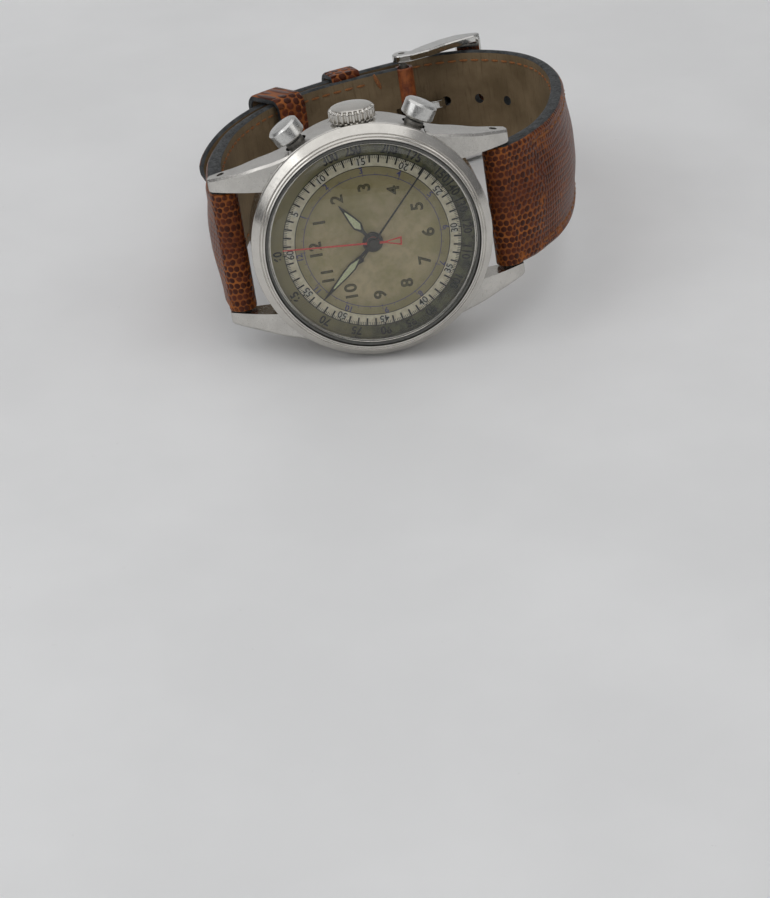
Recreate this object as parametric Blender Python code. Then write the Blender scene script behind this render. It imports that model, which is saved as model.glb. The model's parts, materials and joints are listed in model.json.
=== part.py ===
"""Hand-wound wrist chronograph on a leather strap, buckled into a loop and lying on its side.

The watch frame is used throughout, in millimetres: X points to 3 o'clock, Y to 12 o'clock, Z out of
the dial, and the origin is the dial's centre on its face. The stand at the end leans and rolls that
frame onto the floor, so that the case, the buckle and the sliding keeper carry the watch.
"""
import math

import bmesh
import bpy
from mathutils import Matrix, Vector

MM = 0.001

# Resting attitude: how far the dial leans back and how far 12 o'clock drops below 6 o'clock
LEAN = math.radians(8.33)
ROLL = math.radians(4.6)

# Case
CASE_R = 17.4
CASE_TOP = -0.7
CASE_BOTTOM = -6.8
BORE_R = 15.4
BEZEL_R = 17.5
BACK_FACE = -11.0
BACK_DISC_R = 15.7
FLANGE_R = 16.0
FLANGE_SIDES = 10
LUG_TIP = 22.0
BAR_Y = 20.0
BAR_Z = -6.3
BAR_R = 0.75
GAP = 0.3
ROUND = 36

# Crown and pushers, all on one level of the case side
STEM_Z = -4.0
CROWN_R = 3.35
CROWN_BASE = 17.3
CROWN_RIM = 19.1
CROWN_TEETH = 24
PUSHER_ANGLE = math.radians(29.5)
PUSHER_R = 2.4
PUSHER_BASE = 18.5
PUSHER_FACE = 20.9

# Dial and hands
DIAL_R = 15.1
DIAL_THICK = 0.4
HOUR_ANGLE = math.radians(90 - 56.5)
MINUTE_ANGLE = math.radians(90 - 318)
SECOND_ANGLE = math.radians(90 - 131.8)
COUNTER_ANGLE = math.radians(90 - 4.8)

# Movement levels
PLATE_TOP = -1.3
PLATE_BOTTOM = -2.5
BRIDGE_TOP = -5.3
BRIDGE_BOTTOM = -6.0
MOVEMENT_R = 14.2

# Strap
LUG_WIDTH = 18.0
BUCKLE_WIDTH = 16.0
PITCH = 6.0
HOLE_R = 0.8
BUCKLE_BAR = (-12.2, -60.0)

STEEL = (0.62, 0.61, 0.58)
BRASS = (0.78, 0.62, 0.34)
NICKEL = (0.70, 0.69, 0.66)
LEATHER = (0.36, 0.13, 0.05)


def clear_scene():
    for old in list(bpy.data.objects):
        bpy.data.objects.remove(old)


def material(name, color, roughness, metallic):
    made = bpy.data.materials.new(name)
    made.use_nodes = True
    shader = made.node_tree.nodes["Principled BSDF"]
    shader.inputs["Base Color"].default_value = (*color, 1.0)
    shader.inputs["Roughness"].default_value = roughness
    shader.inputs["Metallic"].default_value = metallic
    return made


def empty(name, parent=None, place=(0, 0, 0)):
    made = bpy.data.objects.new(name, None)
    made.parent = parent
    made.location = Vector(place) * MM
    bpy.context.collection.objects.link(made)
    return made


def finish(name, bm, look, place=(0, 0, 0), turn=None, smooth=True):
    """Make the mesh an object of the watch, with its origin at place, given in millimetres."""
    bmesh.ops.recalc_face_normals(bm, faces=bm.faces)
    bmesh.ops.scale(bm, vec=(MM, MM, MM), verts=bm.verts)
    mesh = bpy.data.meshes.new(name)
    bm.to_mesh(mesh)
    bm.free()
    if smooth:
        mesh.shade_smooth()
        mesh.set_sharp_from_angle(angle=math.radians(32))
    made = bpy.data.objects.new(name, mesh)
    made.parent = HEAD
    made.location = Vector(place) * MM
    if turn:
        made.rotation_euler = turn
    made.data.materials.append(material(name + "_finish", *look))
    bpy.context.collection.objects.link(made)
    return made


def turned(profile, segments=24, radius=None):
    """Revolve a closed outline of (radius, height) about Z; radius(r, angle) may shape the rim."""
    bm = bmesh.new()
    rings = []
    for r, z in profile:
        if r < 1e-6:
            rings.append([bm.verts.new((0, 0, z))])
            continue
        ring = []
        for step in range(segments):
            angle = 2 * math.pi * step / segments
            reach = radius(r, step) if radius else r
            ring.append(bm.verts.new((reach * math.cos(angle), reach * math.sin(angle), z)))
        rings.append(ring)
    for low, high in zip(rings, rings[1:] + rings[:1]):
        if len(low) == 1 and len(high) == 1:
            continue
        for step in range(segments):
            after = (step + 1) % segments
            corners = [low[step % len(low)], low[after % len(low)], high[after % len(high)],
                       high[step % len(high)]]
            bm.faces.new(list(dict.fromkeys(corners)))
    return bm


def prism(outline, low, high, holes=()):
    """A flat plate between two heights, from its outline and the outlines of its holes."""
    bm = bmesh.new()
    for loop in (outline, *holes):
        verts = [bm.verts.new((x, y, low)) for x, y in loop]
        for one, two in zip(verts, verts[1:] + verts[:1]):
            bm.edges.new((one, two))
    bmesh.ops.triangle_fill(bm, use_beauty=True, edges=list(bm.edges))
    raised = bmesh.ops.extrude_face_region(bm, geom=list(bm.faces))["geom"]
    lifted = [item for item in raised if isinstance(item, bmesh.types.BMVert)]
    bmesh.ops.translate(bm, vec=(0, 0, high - low), verts=lifted)
    return bm


def circle(r, count=24, centre=(0, 0), start=0.0, end=2 * math.pi):
    """Points round a circle, or round an arc when it doesn't close."""
    closed = abs(end - start - 2 * math.pi) < 1e-6
    steps = count if closed else count - 1
    return [(centre[0] + r * math.cos(start + (end - start) * i / steps),
             centre[1] + r * math.sin(start + (end - start) * i / steps)) for i in range(count)]


def gear_outline(teeth, pitch_r, phase=0.0):
    """Pointed teeth about a pitch circle, with one tooth's tip at the angle called phase."""
    size = 2 * pitch_r / teeth
    points = []
    for tooth in range(teeth):
        for share, r in ((0.0, pitch_r + 0.3 * size), (0.5, pitch_r - 0.65 * size)):
            angle = phase + 2 * math.pi * (tooth + share) / teeth
            points.append((r * math.cos(angle), r * math.sin(angle)))
    return points


def gear(teeth, pitch_r, low, high, phase=0.0, bore=0.0):
    return prism(gear_outline(teeth, pitch_r, phase), low, high, [circle(bore, 10)] if bore else [])


def combine(target, other, operation):
    """Join another object to the target, or cut it from the target, and keep one mesh."""
    step = target.modifiers.new(operation.lower(), "BOOLEAN")
    step.operation = operation
    step.solver = "EXACT"
    step.object = other
    bpy.context.view_layer.update()
    seen = target.evaluated_get(bpy.context.evaluated_depsgraph_get())
    result = bpy.data.meshes.new_from_object(seen)
    target.modifiers.remove(step)
    clean = bmesh.new()
    clean.from_mesh(result)
    bmesh.ops.remove_doubles(clean, verts=clean.verts, dist=0.005 * MM)
    bmesh.ops.dissolve_degenerate(clean, edges=clean.edges, dist=0.002 * MM)
    clean.to_mesh(result)
    clean.free()
    target.data = result
    bpy.data.objects.remove(other)
    return target


def add(target, bm, place=(0, 0, 0), turn=None):
    return combine(target, finish("added", bm, (STEEL, 0.3, 1.0), place, turn), "UNION")


def cut(target, bm, place=(0, 0, 0), turn=None):
    return combine(target, finish("cutter", bm, (STEEL, 0.3, 1.0), place, turn), "DIFFERENCE")


def rod(r, low, high, segments=12):
    return turned([(0, low), (r, low), (r, high), (0, high)], segments)


def tube(inner, outer, low, high, segments=16):
    return turned([(inner, low), (outer, low), (outer, high), (inner, high)], segments)


def outward(angle):
    """Rotation that sends a piece's own Z out of the case side at the given angle."""
    return Vector((math.cos(angle), math.sin(angle), 0)).to_track_quat("Z", "Y").to_euler()


def along_x(r, low, high, segments=12):
    """A rod along X, for bars and their holes."""
    bm = rod(r, low, high, segments)
    bmesh.ops.rotate(bm, verts=bm.verts, matrix=Matrix.Rotation(math.pi / 2, 3, "Y"))
    return bm


def smooth_path(points, per_span):
    """A Catmull-Rom curve through the points, as (place, tangent) pairs in the plane of Y and Z."""
    spots = [Vector(p) for p in points]
    spots = [2 * spots[0] - spots[1]] + spots + [2 * spots[-1] - spots[-2]]
    path = []
    for i in range(1, len(spots) - 2):
        p0, p1, p2, p3 = spots[i - 1:i + 3]
        last = 1 if i == len(spots) - 3 else 0
        for k in range(per_span + last):
            t = k / per_span
            place = 0.5 * (2 * p1 + (p2 - p0) * t + (2 * p0 - 5 * p1 + 4 * p2 - p3) * t ** 2
                           + (3 * p1 - p0 - 3 * p2 + p3) * t ** 3)
            slope = 0.5 * ((p2 - p0) + 2 * (2 * p0 - 5 * p1 + 4 * p2 - p3) * t
                           + 3 * (3 * p1 - p0 - 3 * p2 + p3) * t ** 2)
            path.append((place, slope.normalized()))
    return path


def lug(side, end):
    """One horn of the case: side is +1 at 3 o'clock, end is +1 at 12 o'clock."""
    # (distance along Y, inner X, outer X, top Z, bottom Z)
    stations = ((12.6, 9.4, 12.7, -1.2, -6.4), (15.5, 9.4, 12.4, -2.1, -6.6),
                (18.0, 9.4, 12.0, -3.3, -6.9), (20.3, 9.4, 11.6, -4.7, -7.4),
                (LUG_TIP - 0.4, 9.4, 11.3, -5.6, -7.6), (LUG_TIP, 9.5, 11.1, -6.1, -7.3))
    bm = bmesh.new()
    rings = []
    for y, inner, outer, top, low in stations:
        soft = 0.35
        corners = ((inner, low), (outer, low), (outer, top - soft), (outer - soft, top), (inner, top))
        rings.append([bm.verts.new((side * x, end * y, z)) for x, z in corners])
    for near, far in zip(rings, rings[1:]):
        for i in range(5):
            after = (i + 1) % 5
            bm.faces.new((near[i], near[after], far[after], far[i]))
    bm.faces.new(rings[0])
    bm.faces.new(rings[-1])
    return bm


def build_case():
    steel = (STEEL, 0.22, 1.0)
    outline = [(BORE_R, CASE_TOP), (CASE_R - 0.25, CASE_TOP), (CASE_R, CASE_TOP - 0.25),
               (CASE_R, CASE_BOTTOM + 0.2), (CASE_R - 0.2, CASE_BOTTOM), (BORE_R, CASE_BOTTOM)]
    case = finish("case_middle", turned(outline, ROUND), steel)
    for end in (1, -1):
        for side in (1, -1):
            add(case, lug(side, end))
        cut(case, along_x(0.55, -13, 13), (0, end * BAR_Y, BAR_Z))
    cut(case, rod(CROWN_R + 0.35, CROWN_BASE - GAP, 20, 20), (0, 0, STEM_Z), outward(0))
    cut(case, rod(1.25, 14, 20), (0, 0, STEM_Z), outward(0))
    for angle in (PUSHER_ANGLE, -PUSHER_ANGLE):
        cut(case, rod(1.75, 14, 20), (0, 0, STEM_Z), outward(angle))

    top = CASE_TOP + 0.3
    bezel = [(15.35, top), (BEZEL_R - 0.1, top), (BEZEL_R, top + 0.15), (BEZEL_R, 0.05),
             (15.95, 1.75), (15.6, 1.8), (15.6, 1.0), (14.85, 1.0), (14.85, 0.3), (15.35, 0.3)]
    finish("bezel", turned(bezel, ROUND), steel)

    dome = [(0, 2.75), (7, 2.55), (12.8, 2.05), (14.6, 1.75), (15.0, 1.55), (15.0, 1.15),
            (14.5, 1.15), (7, 1.85), (0, 2.02)]
    finish("crystal", turned(dome, 36), ((0.95, 0.96, 0.95), 0.03, 0.0))
    finish("crystal_gasket", tube(15.15, 15.45, 1.1, 1.65, 36), ((0.25, 0.25, 0.24), 0.6, 0.0))

    back_top = CASE_BOTTOM - GAP
    cup = [(0, BACK_FACE), (BACK_DISC_R - 0.15, BACK_FACE), (BACK_DISC_R, BACK_FACE + 0.15),
           (BACK_DISC_R, BACK_FACE + 0.7), (17.0, -8.1), (17.0, back_top), (14.3, back_top),
           (14.3, -9.9), (0, -9.9)]
    back = finish("case_back", turned(cup, ROUND), steel)
    corner = FLANGE_R / math.cos(math.pi / FLANGE_SIDES)
    add(back, turned([(14.6, -8.0), (corner, -8.0), (corner, -10.25), (14.6, -10.25)], FLANGE_SIDES))
    finish("case_back_gasket", tube(14.5, 15.1, -7.05, -6.75, 36), ((0.05, 0.05, 0.05), 0.7, 0.0))


def crown_body(hollow):
    """Fluted crown on the local Z axis, with its square shaft running inwards."""
    def flutes(r, step):
        return r if r < CROWN_R - 0.4 or step % 2 else r - 0.2
    profile = [(0, CROWN_BASE + 0.9), (hollow, CROWN_BASE + 0.9), (hollow, CROWN_BASE),
               (CROWN_R, CROWN_BASE), (CROWN_R, CROWN_RIM - 0.2), (CROWN_R - 0.3, CROWN_RIM),
               (1.7, CROWN_RIM + 0.3), (0, CROWN_RIM + 0.4)]
    return turned(profile, CROWN_TEETH * 2, flutes)


def build_crown():
    steel = (STEEL, 0.25, 1.0)
    out = outward(0)
    place = (0, 0, STEM_Z)
    crown = finish("crown", crown_body(1.8), steel, place, out)
    add(crown, rod(0.5, 15.6, CROWN_BASE + 0.9), place, out)
    finish("winding_stem", rod(0.45, 5.6, 15.3), (NICKEL, 0.35, 1.0), place, out)
    finish("crown_tube", tube(0.6, 1.15, 14.6, 17.85), steel, place, out)
    grey = (NICKEL, 0.35, 1.0)
    finish("winding_pinion", gear(12, 1.75, 8.6, 10.4, bore=0.6), grey, place, out)
    clutch = [(0.6, 6.2), (1.3, 6.2), (1.3, 6.9), (0.95, 6.9), (0.95, 7.4), (1.3, 7.4),
              (1.3, 8.3), (0.6, 8.3)]
    finish("sliding_pinion", turned(clutch, 14), grey, place, out)


def build_pushers():
    steel = (STEEL, 0.25, 1.0)
    for name, angle in (("start", PUSHER_ANGLE), ("reset", -PUSHER_ANGLE)):
        place = (0, 0, STEM_Z)
        out = outward(angle)
        head = [(0, 14.9), (0.7, 14.9), (0.7, PUSHER_BASE + 0.6), (1.6, PUSHER_BASE + 0.6),
                (1.6, PUSHER_BASE), (PUSHER_R - 0.1, PUSHER_BASE), (PUSHER_R, PUSHER_BASE + 0.15),
                (PUSHER_R, PUSHER_FACE - 0.55), (PUSHER_R - 0.45, PUSHER_FACE - 0.15), (0, PUSHER_FACE)]
        finish("pusher_" + name, turned(head, 18), steel, place, out)
        finish("pusher_tube_" + name, tube(0.8, 1.4, 14.6, 17.9, 14), (STEEL, 0.4, 1.0), place, out)
        coil = tube(1.0, 1.3, 18.0, 18.95, 12)
        finish("pusher_spring_" + name, coil, (NICKEL, 0.4, 1.0), place, out)


def polar(r, degrees):
    return (r * math.cos(math.radians(degrees)), r * math.sin(math.radians(degrees)))


def offset(start, r, degrees):
    step = polar(r, degrees)
    return (start[0] + step[0], start[1] + step[1])


def direction(start, end):
    return math.atan2(end[1] - start[1], end[0] - start[0])


# Gear train: teeth and pitch radii of each wheel and of the pinion that it drives
BARREL = (36, 5.7, 6, 0.95)
CENTRE = (40, 4.0, 5, 0.5)
THIRD = (45, 3.2, 6, 0.427)
FOURTH = (40, 2.8, 5, 0.35)
BARREL_AT = polar(BARREL[1] + BARREL[3], 80)
THIRD_AT = polar(CENTRE[1] + CENTRE[3], -112)
FOURTH_AT = offset(THIRD_AT, THIRD[1] + THIRD[3], -30)
ESCAPE_AT = offset(FOURTH_AT, FOURTH[1] + FOURTH[3], -18)
PALLET_REACH = 2.25
FORK_ANGLE = 26
PALLET_AT = offset(ESCAPE_AT, PALLET_REACH, FORK_ANGLE)
BALANCE_AT = offset(PALLET_AT, 1.65, FORK_ANGLE)
CANNON = (8, 0.8)
MINUTE_WHEEL = (24, 2.4)
MINUTE_PINION = (6, 0.64)
HOUR_WHEEL = (24, 2.56)
MINUTE_WHEEL_AT = polar(CANNON[1] + MINUTE_WHEEL[1], -20)
CROWN_WHEEL_AT = (6.2, 0.9)
CROWN_WHEEL = (22, 3.1)
RATCHET = (32, math.dist(BARREL_AT, CROWN_WHEEL_AT) - 3.1)
DRIVING = (24, 2.2)
COUPLING = (10, 0.92)
RUNNER = (36, 3.3)
COUPLING_PLAY = 0.35
COLUMN_AT = (8.8, 6.2)
LEVER_AT = (12.0, 1.2)
HAMMER_AT = (2.6, -11.6)
CLICK_AT = (-4.6, 9.4)


def place3(spot, z=0.0):
    return (spot[0], spot[1], z)


def meeting(start, start_reach, end, end_reach):
    """The point on the right of the line from start to end that lies at both reaches."""
    span = math.dist(start, end)
    along = (start_reach ** 2 - end_reach ** 2 + span ** 2) / (2 * span)
    aside = math.sqrt(start_reach ** 2 - along ** 2)
    heading = Vector(((end[0] - start[0]) / span, (end[1] - start[1]) / span))
    return (start[0] + heading.x * along - heading.y * aside,
            start[1] + heading.y * along + heading.x * aside)


def facing(teeth, start, end):
    """Phase that puts a gap of the wheel at end on the line to the wheel at start."""
    return direction(end, start) + math.pi / teeth


COUPLING_AT = meeting((0, 0), RUNNER[1] + COUPLING[1] + COUPLING_PLAY, FOURTH_AT,
                      DRIVING[1] + COUPLING[1])


def build_train():
    brass = (BRASS, 0.35, 1.0)
    steel = (STEEL, 0.3, 1.0)
    centre = (0.0, 0.0)

    teeth, pitch, leaves, leaf_r = BARREL
    at = place3(BARREL_AT)
    drum = finish("mainspring_barrel", gear(teeth, pitch, -3.2, -2.8, direction(BARREL_AT, centre)),
                  brass, at)
    add(drum, tube(4.95, 5.35, -4.85, -3.1, 24), at)
    cut(drum, rod(0.6, -4, -2), at)
    finish("barrel_arbor", turned([(0, -6.9), (0.5, -6.9), (0.5, -3.3), (0, -3.3)], 12), steel, at)
    finish("mainspring", spiral(0.9, 4.7, 4, 0.16, -4.6, -3.35, 13), (STEEL, 0.4, 1.0), at)

    hub = finish("center_wheel", gear(CENTRE[0], CENTRE[1], -5.2, -5.05, math.radians(-112)), brass)
    add(hub, gear(leaves, leaf_r, -5.1, -2.85, facing(leaves, BARREL_AT, centre)))
    cut(hub, rod(0.5, -6, 0))

    train = (("third_wheel", THIRD_AT, centre, CENTRE, THIRD, FOURTH_AT, (-3.6, -3.45), (-5.25, -3.5)),
             ("fourth_wheel", FOURTH_AT, THIRD_AT, THIRD, FOURTH, ESCAPE_AT, (-4.4, -4.25),
              (-4.35, -3.3)))
    for name, spot, before, driver, wheel, after, level, leaf_level in train:
        at = place3(spot)
        made = finish(name, gear(wheel[0], wheel[1], *level, direction(spot, after)), brass, at)
        add(made, gear(driver[2], driver[3], *leaf_level, facing(driver[2], before, spot)), at)
        add(made, rod(0.2, -5.25 if name == "third_wheel" else -7.6, -2.6, 8), at)
    at = place3(FOURTH_AT)
    turn = direction(FOURTH_AT, COUPLING_AT)
    add(bpy.data.objects["fourth_wheel"], gear(*DRIVING, -7.6, -7.4, turn), at)

    at = place3(ESCAPE_AT)
    escape = finish("escape_wheel", prism(escape_outline(), -3.45, -3.3), (STEEL, 0.3, 1.0), at)
    add(escape, gear(FOURTH[2], FOURTH[3], -4.5, -3.4, facing(FOURTH[2], FOURTH_AT, ESCAPE_AT)), at)
    add(escape, rod(0.14, -5.2, -2.6, 8), at)


def escape_outline():
    teeth = 15
    points = []
    for tooth in range(teeth):
        for share, r in ((0.0, 1.35), (0.35, 1.9), (0.5, 1.35)):
            angle = 2 * math.pi * (tooth + share) / teeth
            points.append((r * math.cos(angle), r * math.sin(angle)))
    return points


def spiral(inner, outer, turns, thick, low, high, per_turn):
    """A flat strip wound from the inner to the outer radius, standing on its edge."""
    bm = bmesh.new()
    steps = int(turns * per_turn)
    previous = None
    for step in range(steps + 1):
        angle = 2 * math.pi * step / per_turn
        r = inner + (outer - inner) * step / steps
        ring = []
        for reach, z in ((r, low), (r + thick, low), (r + thick, high), (r, high)):
            ring.append(bm.verts.new((reach * math.cos(angle), reach * math.sin(angle), z)))
        if previous:
            for i in range(4):
                after = (i + 1) % 4
                bm.faces.new((previous[i], previous[after], ring[after], ring[i]))
        else:
            bm.faces.new(ring)
        previous = ring
    bm.faces.new(previous)
    return bm


def build_escapement():
    steel = (STEEL, 0.3, 1.0)
    brass = (BRASS, 0.3, 1.0)
    turn = (0, 0, math.radians(FORK_ANGLE))
    at = place3(PALLET_AT)
    spread = math.radians(38)
    rim = circle(2.5, 9, (-PALLET_REACH, 0), -spread, spread)
    stones = circle(2.02, 9, (-PALLET_REACH, 0), spread, -spread)
    fork = finish("pallet_fork", prism(rim + stones, -3.5, -3.25), steel, at, turn)
    add(fork, prism([(0.1, -0.16), (1.0, -0.1), (1.0, 0.1), (0.1, 0.16)], -3.5, -3.25), at, turn)
    add(fork, rod(0.2, -4.5, -2.6, 10), at)

    at = place3(BALANCE_AT)
    balance = finish("balance_wheel", tube(3.1, 3.5, -5.0, -4.65, 24), brass, at)
    add(balance, prism([(-3.3, -0.22), (3.3, -0.22), (3.3, 0.22), (-3.3, 0.22)], -4.95, -4.7), at)
    staff = [(0, -5.35), (0.18, -5.35), (0.18, -3.7), (0.42, -3.7), (0.42, -3.2), (0.15, -3.2),
             (0.15, -2.6), (0, -2.6)]
    add(balance, turned(staff, 10), at)
    finish("hairspring", spiral(0.5, 2.3, 4, 0.1, -5.28, -5.1, 12), (STEEL, 0.4, 1.0), at)


def build_motion_work():
    brass = (BRASS, 0.35, 1.0)
    cannon = finish("cannon_pinion", gear(*CANNON, -1.27, -1.0, math.radians(-20)), (STEEL, 0.35, 1.0))
    add(cannon, rod(0.63, -2.7, 0.6, 12))
    cut(cannon, rod(0.47, -3, 1, 12))
    at = place3(MINUTE_WHEEL_AT)
    phase = facing(MINUTE_WHEEL[0], (0, 0), MINUTE_WHEEL_AT)
    wheel = finish("minute_wheel", gear(*MINUTE_WHEEL, -1.2, -1.05, phase), brass, at)
    add(wheel, gear(*MINUTE_PINION, -1.1, -0.6, direction(MINUTE_WHEEL_AT, (0, 0))), at)
    phase = math.radians(-20) + math.pi / HOUR_WHEEL[0]
    hour = finish("hour_wheel", gear(*HOUR_WHEEL, -0.85, -0.65, phase), brass)
    add(hour, rod(1.0, -0.85, 0.35, 14))
    cut(hour, rod(0.75, -2, 1, 14))


def hand_shape(name, outlines, low, high, hub, bore, angle, look):
    """A hand along local X: plates joined by a round hub, bored to fit over what carries it."""
    turn = (0, 0, angle)
    hand = finish(name, prism(circle(hub, 16), low, high), look, (0, 0, 0), turn)
    for outline in outlines:
        add(hand, prism(outline, low, high), turn=turn)
    cut(hand, rod(bore, low - 1, high + 1))
    return hand


def build_hands():
    dark = ((0.10, 0.10, 0.09), 0.3, 1.0)
    red = ((0.72, 0.10, 0.06), 0.35, 0.0)
    hour = [(1.2, -0.2), (2.2, -0.25), (3.4, -0.72), (4.6, -0.6), (7.2, -0.05), (7.2, 0.05),
            (4.6, 0.6), (3.4, 0.72), (2.2, 0.25), (1.2, 0.2)]
    minute = [(0.9, -0.18), (2.6, -0.22), (4.6, -0.62), (6.2, -0.55), (11.0, -0.05), (11.0, 0.05),
              (6.2, 0.55), (4.6, 0.62), (2.6, 0.22), (0.9, 0.18)]
    hand_shape("hour_hand", [hour], 0.25, 0.37, 1.5, 1.05, HOUR_ANGLE, dark)
    hand_shape("minute_hand", [minute], 0.48, 0.59, 1.25, 0.68, MINUTE_ANGLE, dark)
    tail = [(-4.0, -0.55), (-1.9, -0.14), (-0.6, -0.14), (-0.6, 0.14), (-1.9, 0.14), (-4.0, 0.55)]
    needle = [(0.6, -0.12), (12.7, -0.04), (12.7, 0.04), (0.6, 0.12)]
    hand_shape("chrono_minute_hand", [needle, tail], 0.72, 0.82, 0.95, 0.41, COUNTER_ANGLE, red)
    sweep = [(0.4, -0.1), (12.9, -0.04), (12.9, 0.04), (0.4, 0.1)]
    arrow = [(-3.6, 0.0), (-3.0, -0.3), (-2.5, -0.07), (-0.4, -0.1), (-0.4, 0.1), (-2.5, 0.07),
             (-3.0, 0.3)]
    hand_shape("chrono_second_hand", [sweep, arrow], 0.94, 1.03, 0.7, 0.24, SECOND_ANGLE, dark)


def build_chronograph():
    brass = (BRASS, 0.3, 1.0)
    steel = (STEEL, 0.25, 1.0)
    counter = finish("minute_counter_wheel", gear(30, 3.0, -7.0, -6.8), brass)
    add(counter, rod(0.36, -7.0, 0.8))
    cut(counter, rod(0.25, -8, 1))
    runner = finish("chrono_runner", gear(*RUNNER, -7.6, -7.4), brass)
    add(runner, rod(0.19, -8.6, 1.03))
    add(runner, prism(circle(1.0, 12, (0.3, 0)), -8.5, -8.2))
    at = place3(COUPLING_AT)
    turn = facing(COUPLING[0], FOURTH_AT, COUPLING_AT)
    wheel = finish("coupling_wheel", gear(*COUPLING, -7.6, -7.4, turn), brass, at)
    add(wheel, rod(0.15, -8.0, -7.2, 8), at)
    reach = (COUPLING_AT[0] - FOURTH_AT[0], COUPLING_AT[1] - FOURTH_AT[1])
    clutch = ribbon(((reach[0] * 1.25, reach[1] * 1.25), (0, 0), (2.2, -1.7), (6.6, -2.2)), 0.55)
    lever = finish("coupling_clutch", prism(clutch, -8.15, -7.85), steel, place3(FOURTH_AT))
    cut(lever, rod(0.22, -9, -7), at)

    at = place3(COLUMN_AT)
    column = finish("column_wheel", prism(star(12, 1.55, 1.8), -6.75, -6.35), steel, at)
    add(column, prism(star(6, 0.75, 1.45), -7.8, -6.6), at)
    cut(column, rod(0.35, -9, -6, 12), at)

    arm = [(-0.9, -0.8), (0.6, -0.9), (1.0, 0.8), (0.75, 4.0), (0.2, 5.6), (-1.2, 6.0), (-1.0, 4.6),
           (-0.3, 3.6), (-0.6, 0.8)]
    lever = finish("operating_lever", prism(arm, -8.2, -7.9), steel, place3(LEVER_AT))
    cut(lever, rod(0.3, -9, -7), place3(LEVER_AT))
    add(lever, prism([(-0.4, 4.6), (0.3, 4.6), (0.1, 5.4), (-0.4, 5.5)], -8.1, -4.6),
        place3(LEVER_AT))

    hammer = [(8.7, 3.5), (9.3, 4.6), (3.4, 3.9), (-0.4, 10.2), (-2.2, 9.8), (-2.3, 9.0), (-1.0, 9.2),
              (-1.2, 0.0), (0.6, -1.1), (3.6, 1.9)]
    lever = finish("reset_hammer", prism(hammer, -8.95, -8.65), steel, place3(HAMMER_AT))
    cut(lever, rod(0.3, -9.5, -8, 12), place3(HAMMER_AT))


def star(points, root, tip):
    outline = []
    for i in range(points):
        for share, r in ((0.0, root), (0.25, root), (0.35, tip), (0.9, tip)):
            angle = 2 * math.pi * (i + share) / points
            outline.append((r * math.cos(angle), r * math.sin(angle)))
    return outline


def build_winding():
    steel = (STEEL, 0.25, 1.0)
    at = place3(CROWN_WHEEL_AT)
    turn = direction(CROWN_WHEEL_AT, BARREL_AT)
    finish("crown_wheel", gear(*CROWN_WHEEL, -6.6, -6.15, turn, 0.7), steel, at)
    at = place3(BARREL_AT)
    turn = facing(RATCHET[0], CROWN_WHEEL_AT, BARREL_AT)
    finish("ratchet_wheel", gear(*RATCHET, -6.6, -6.15, turn, 0.62), steel, at)
    beak = [(-1.0, 0.5), (-0.9, -0.6), (0.3, -1.1), (1.5, -1.1), (1.0, -0.2), (0.4, 0.7)]
    finish("click", prism(beak, -6.6, -6.15, (circle(0.3, 10),)), steel, place3(CLICK_AT))


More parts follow.
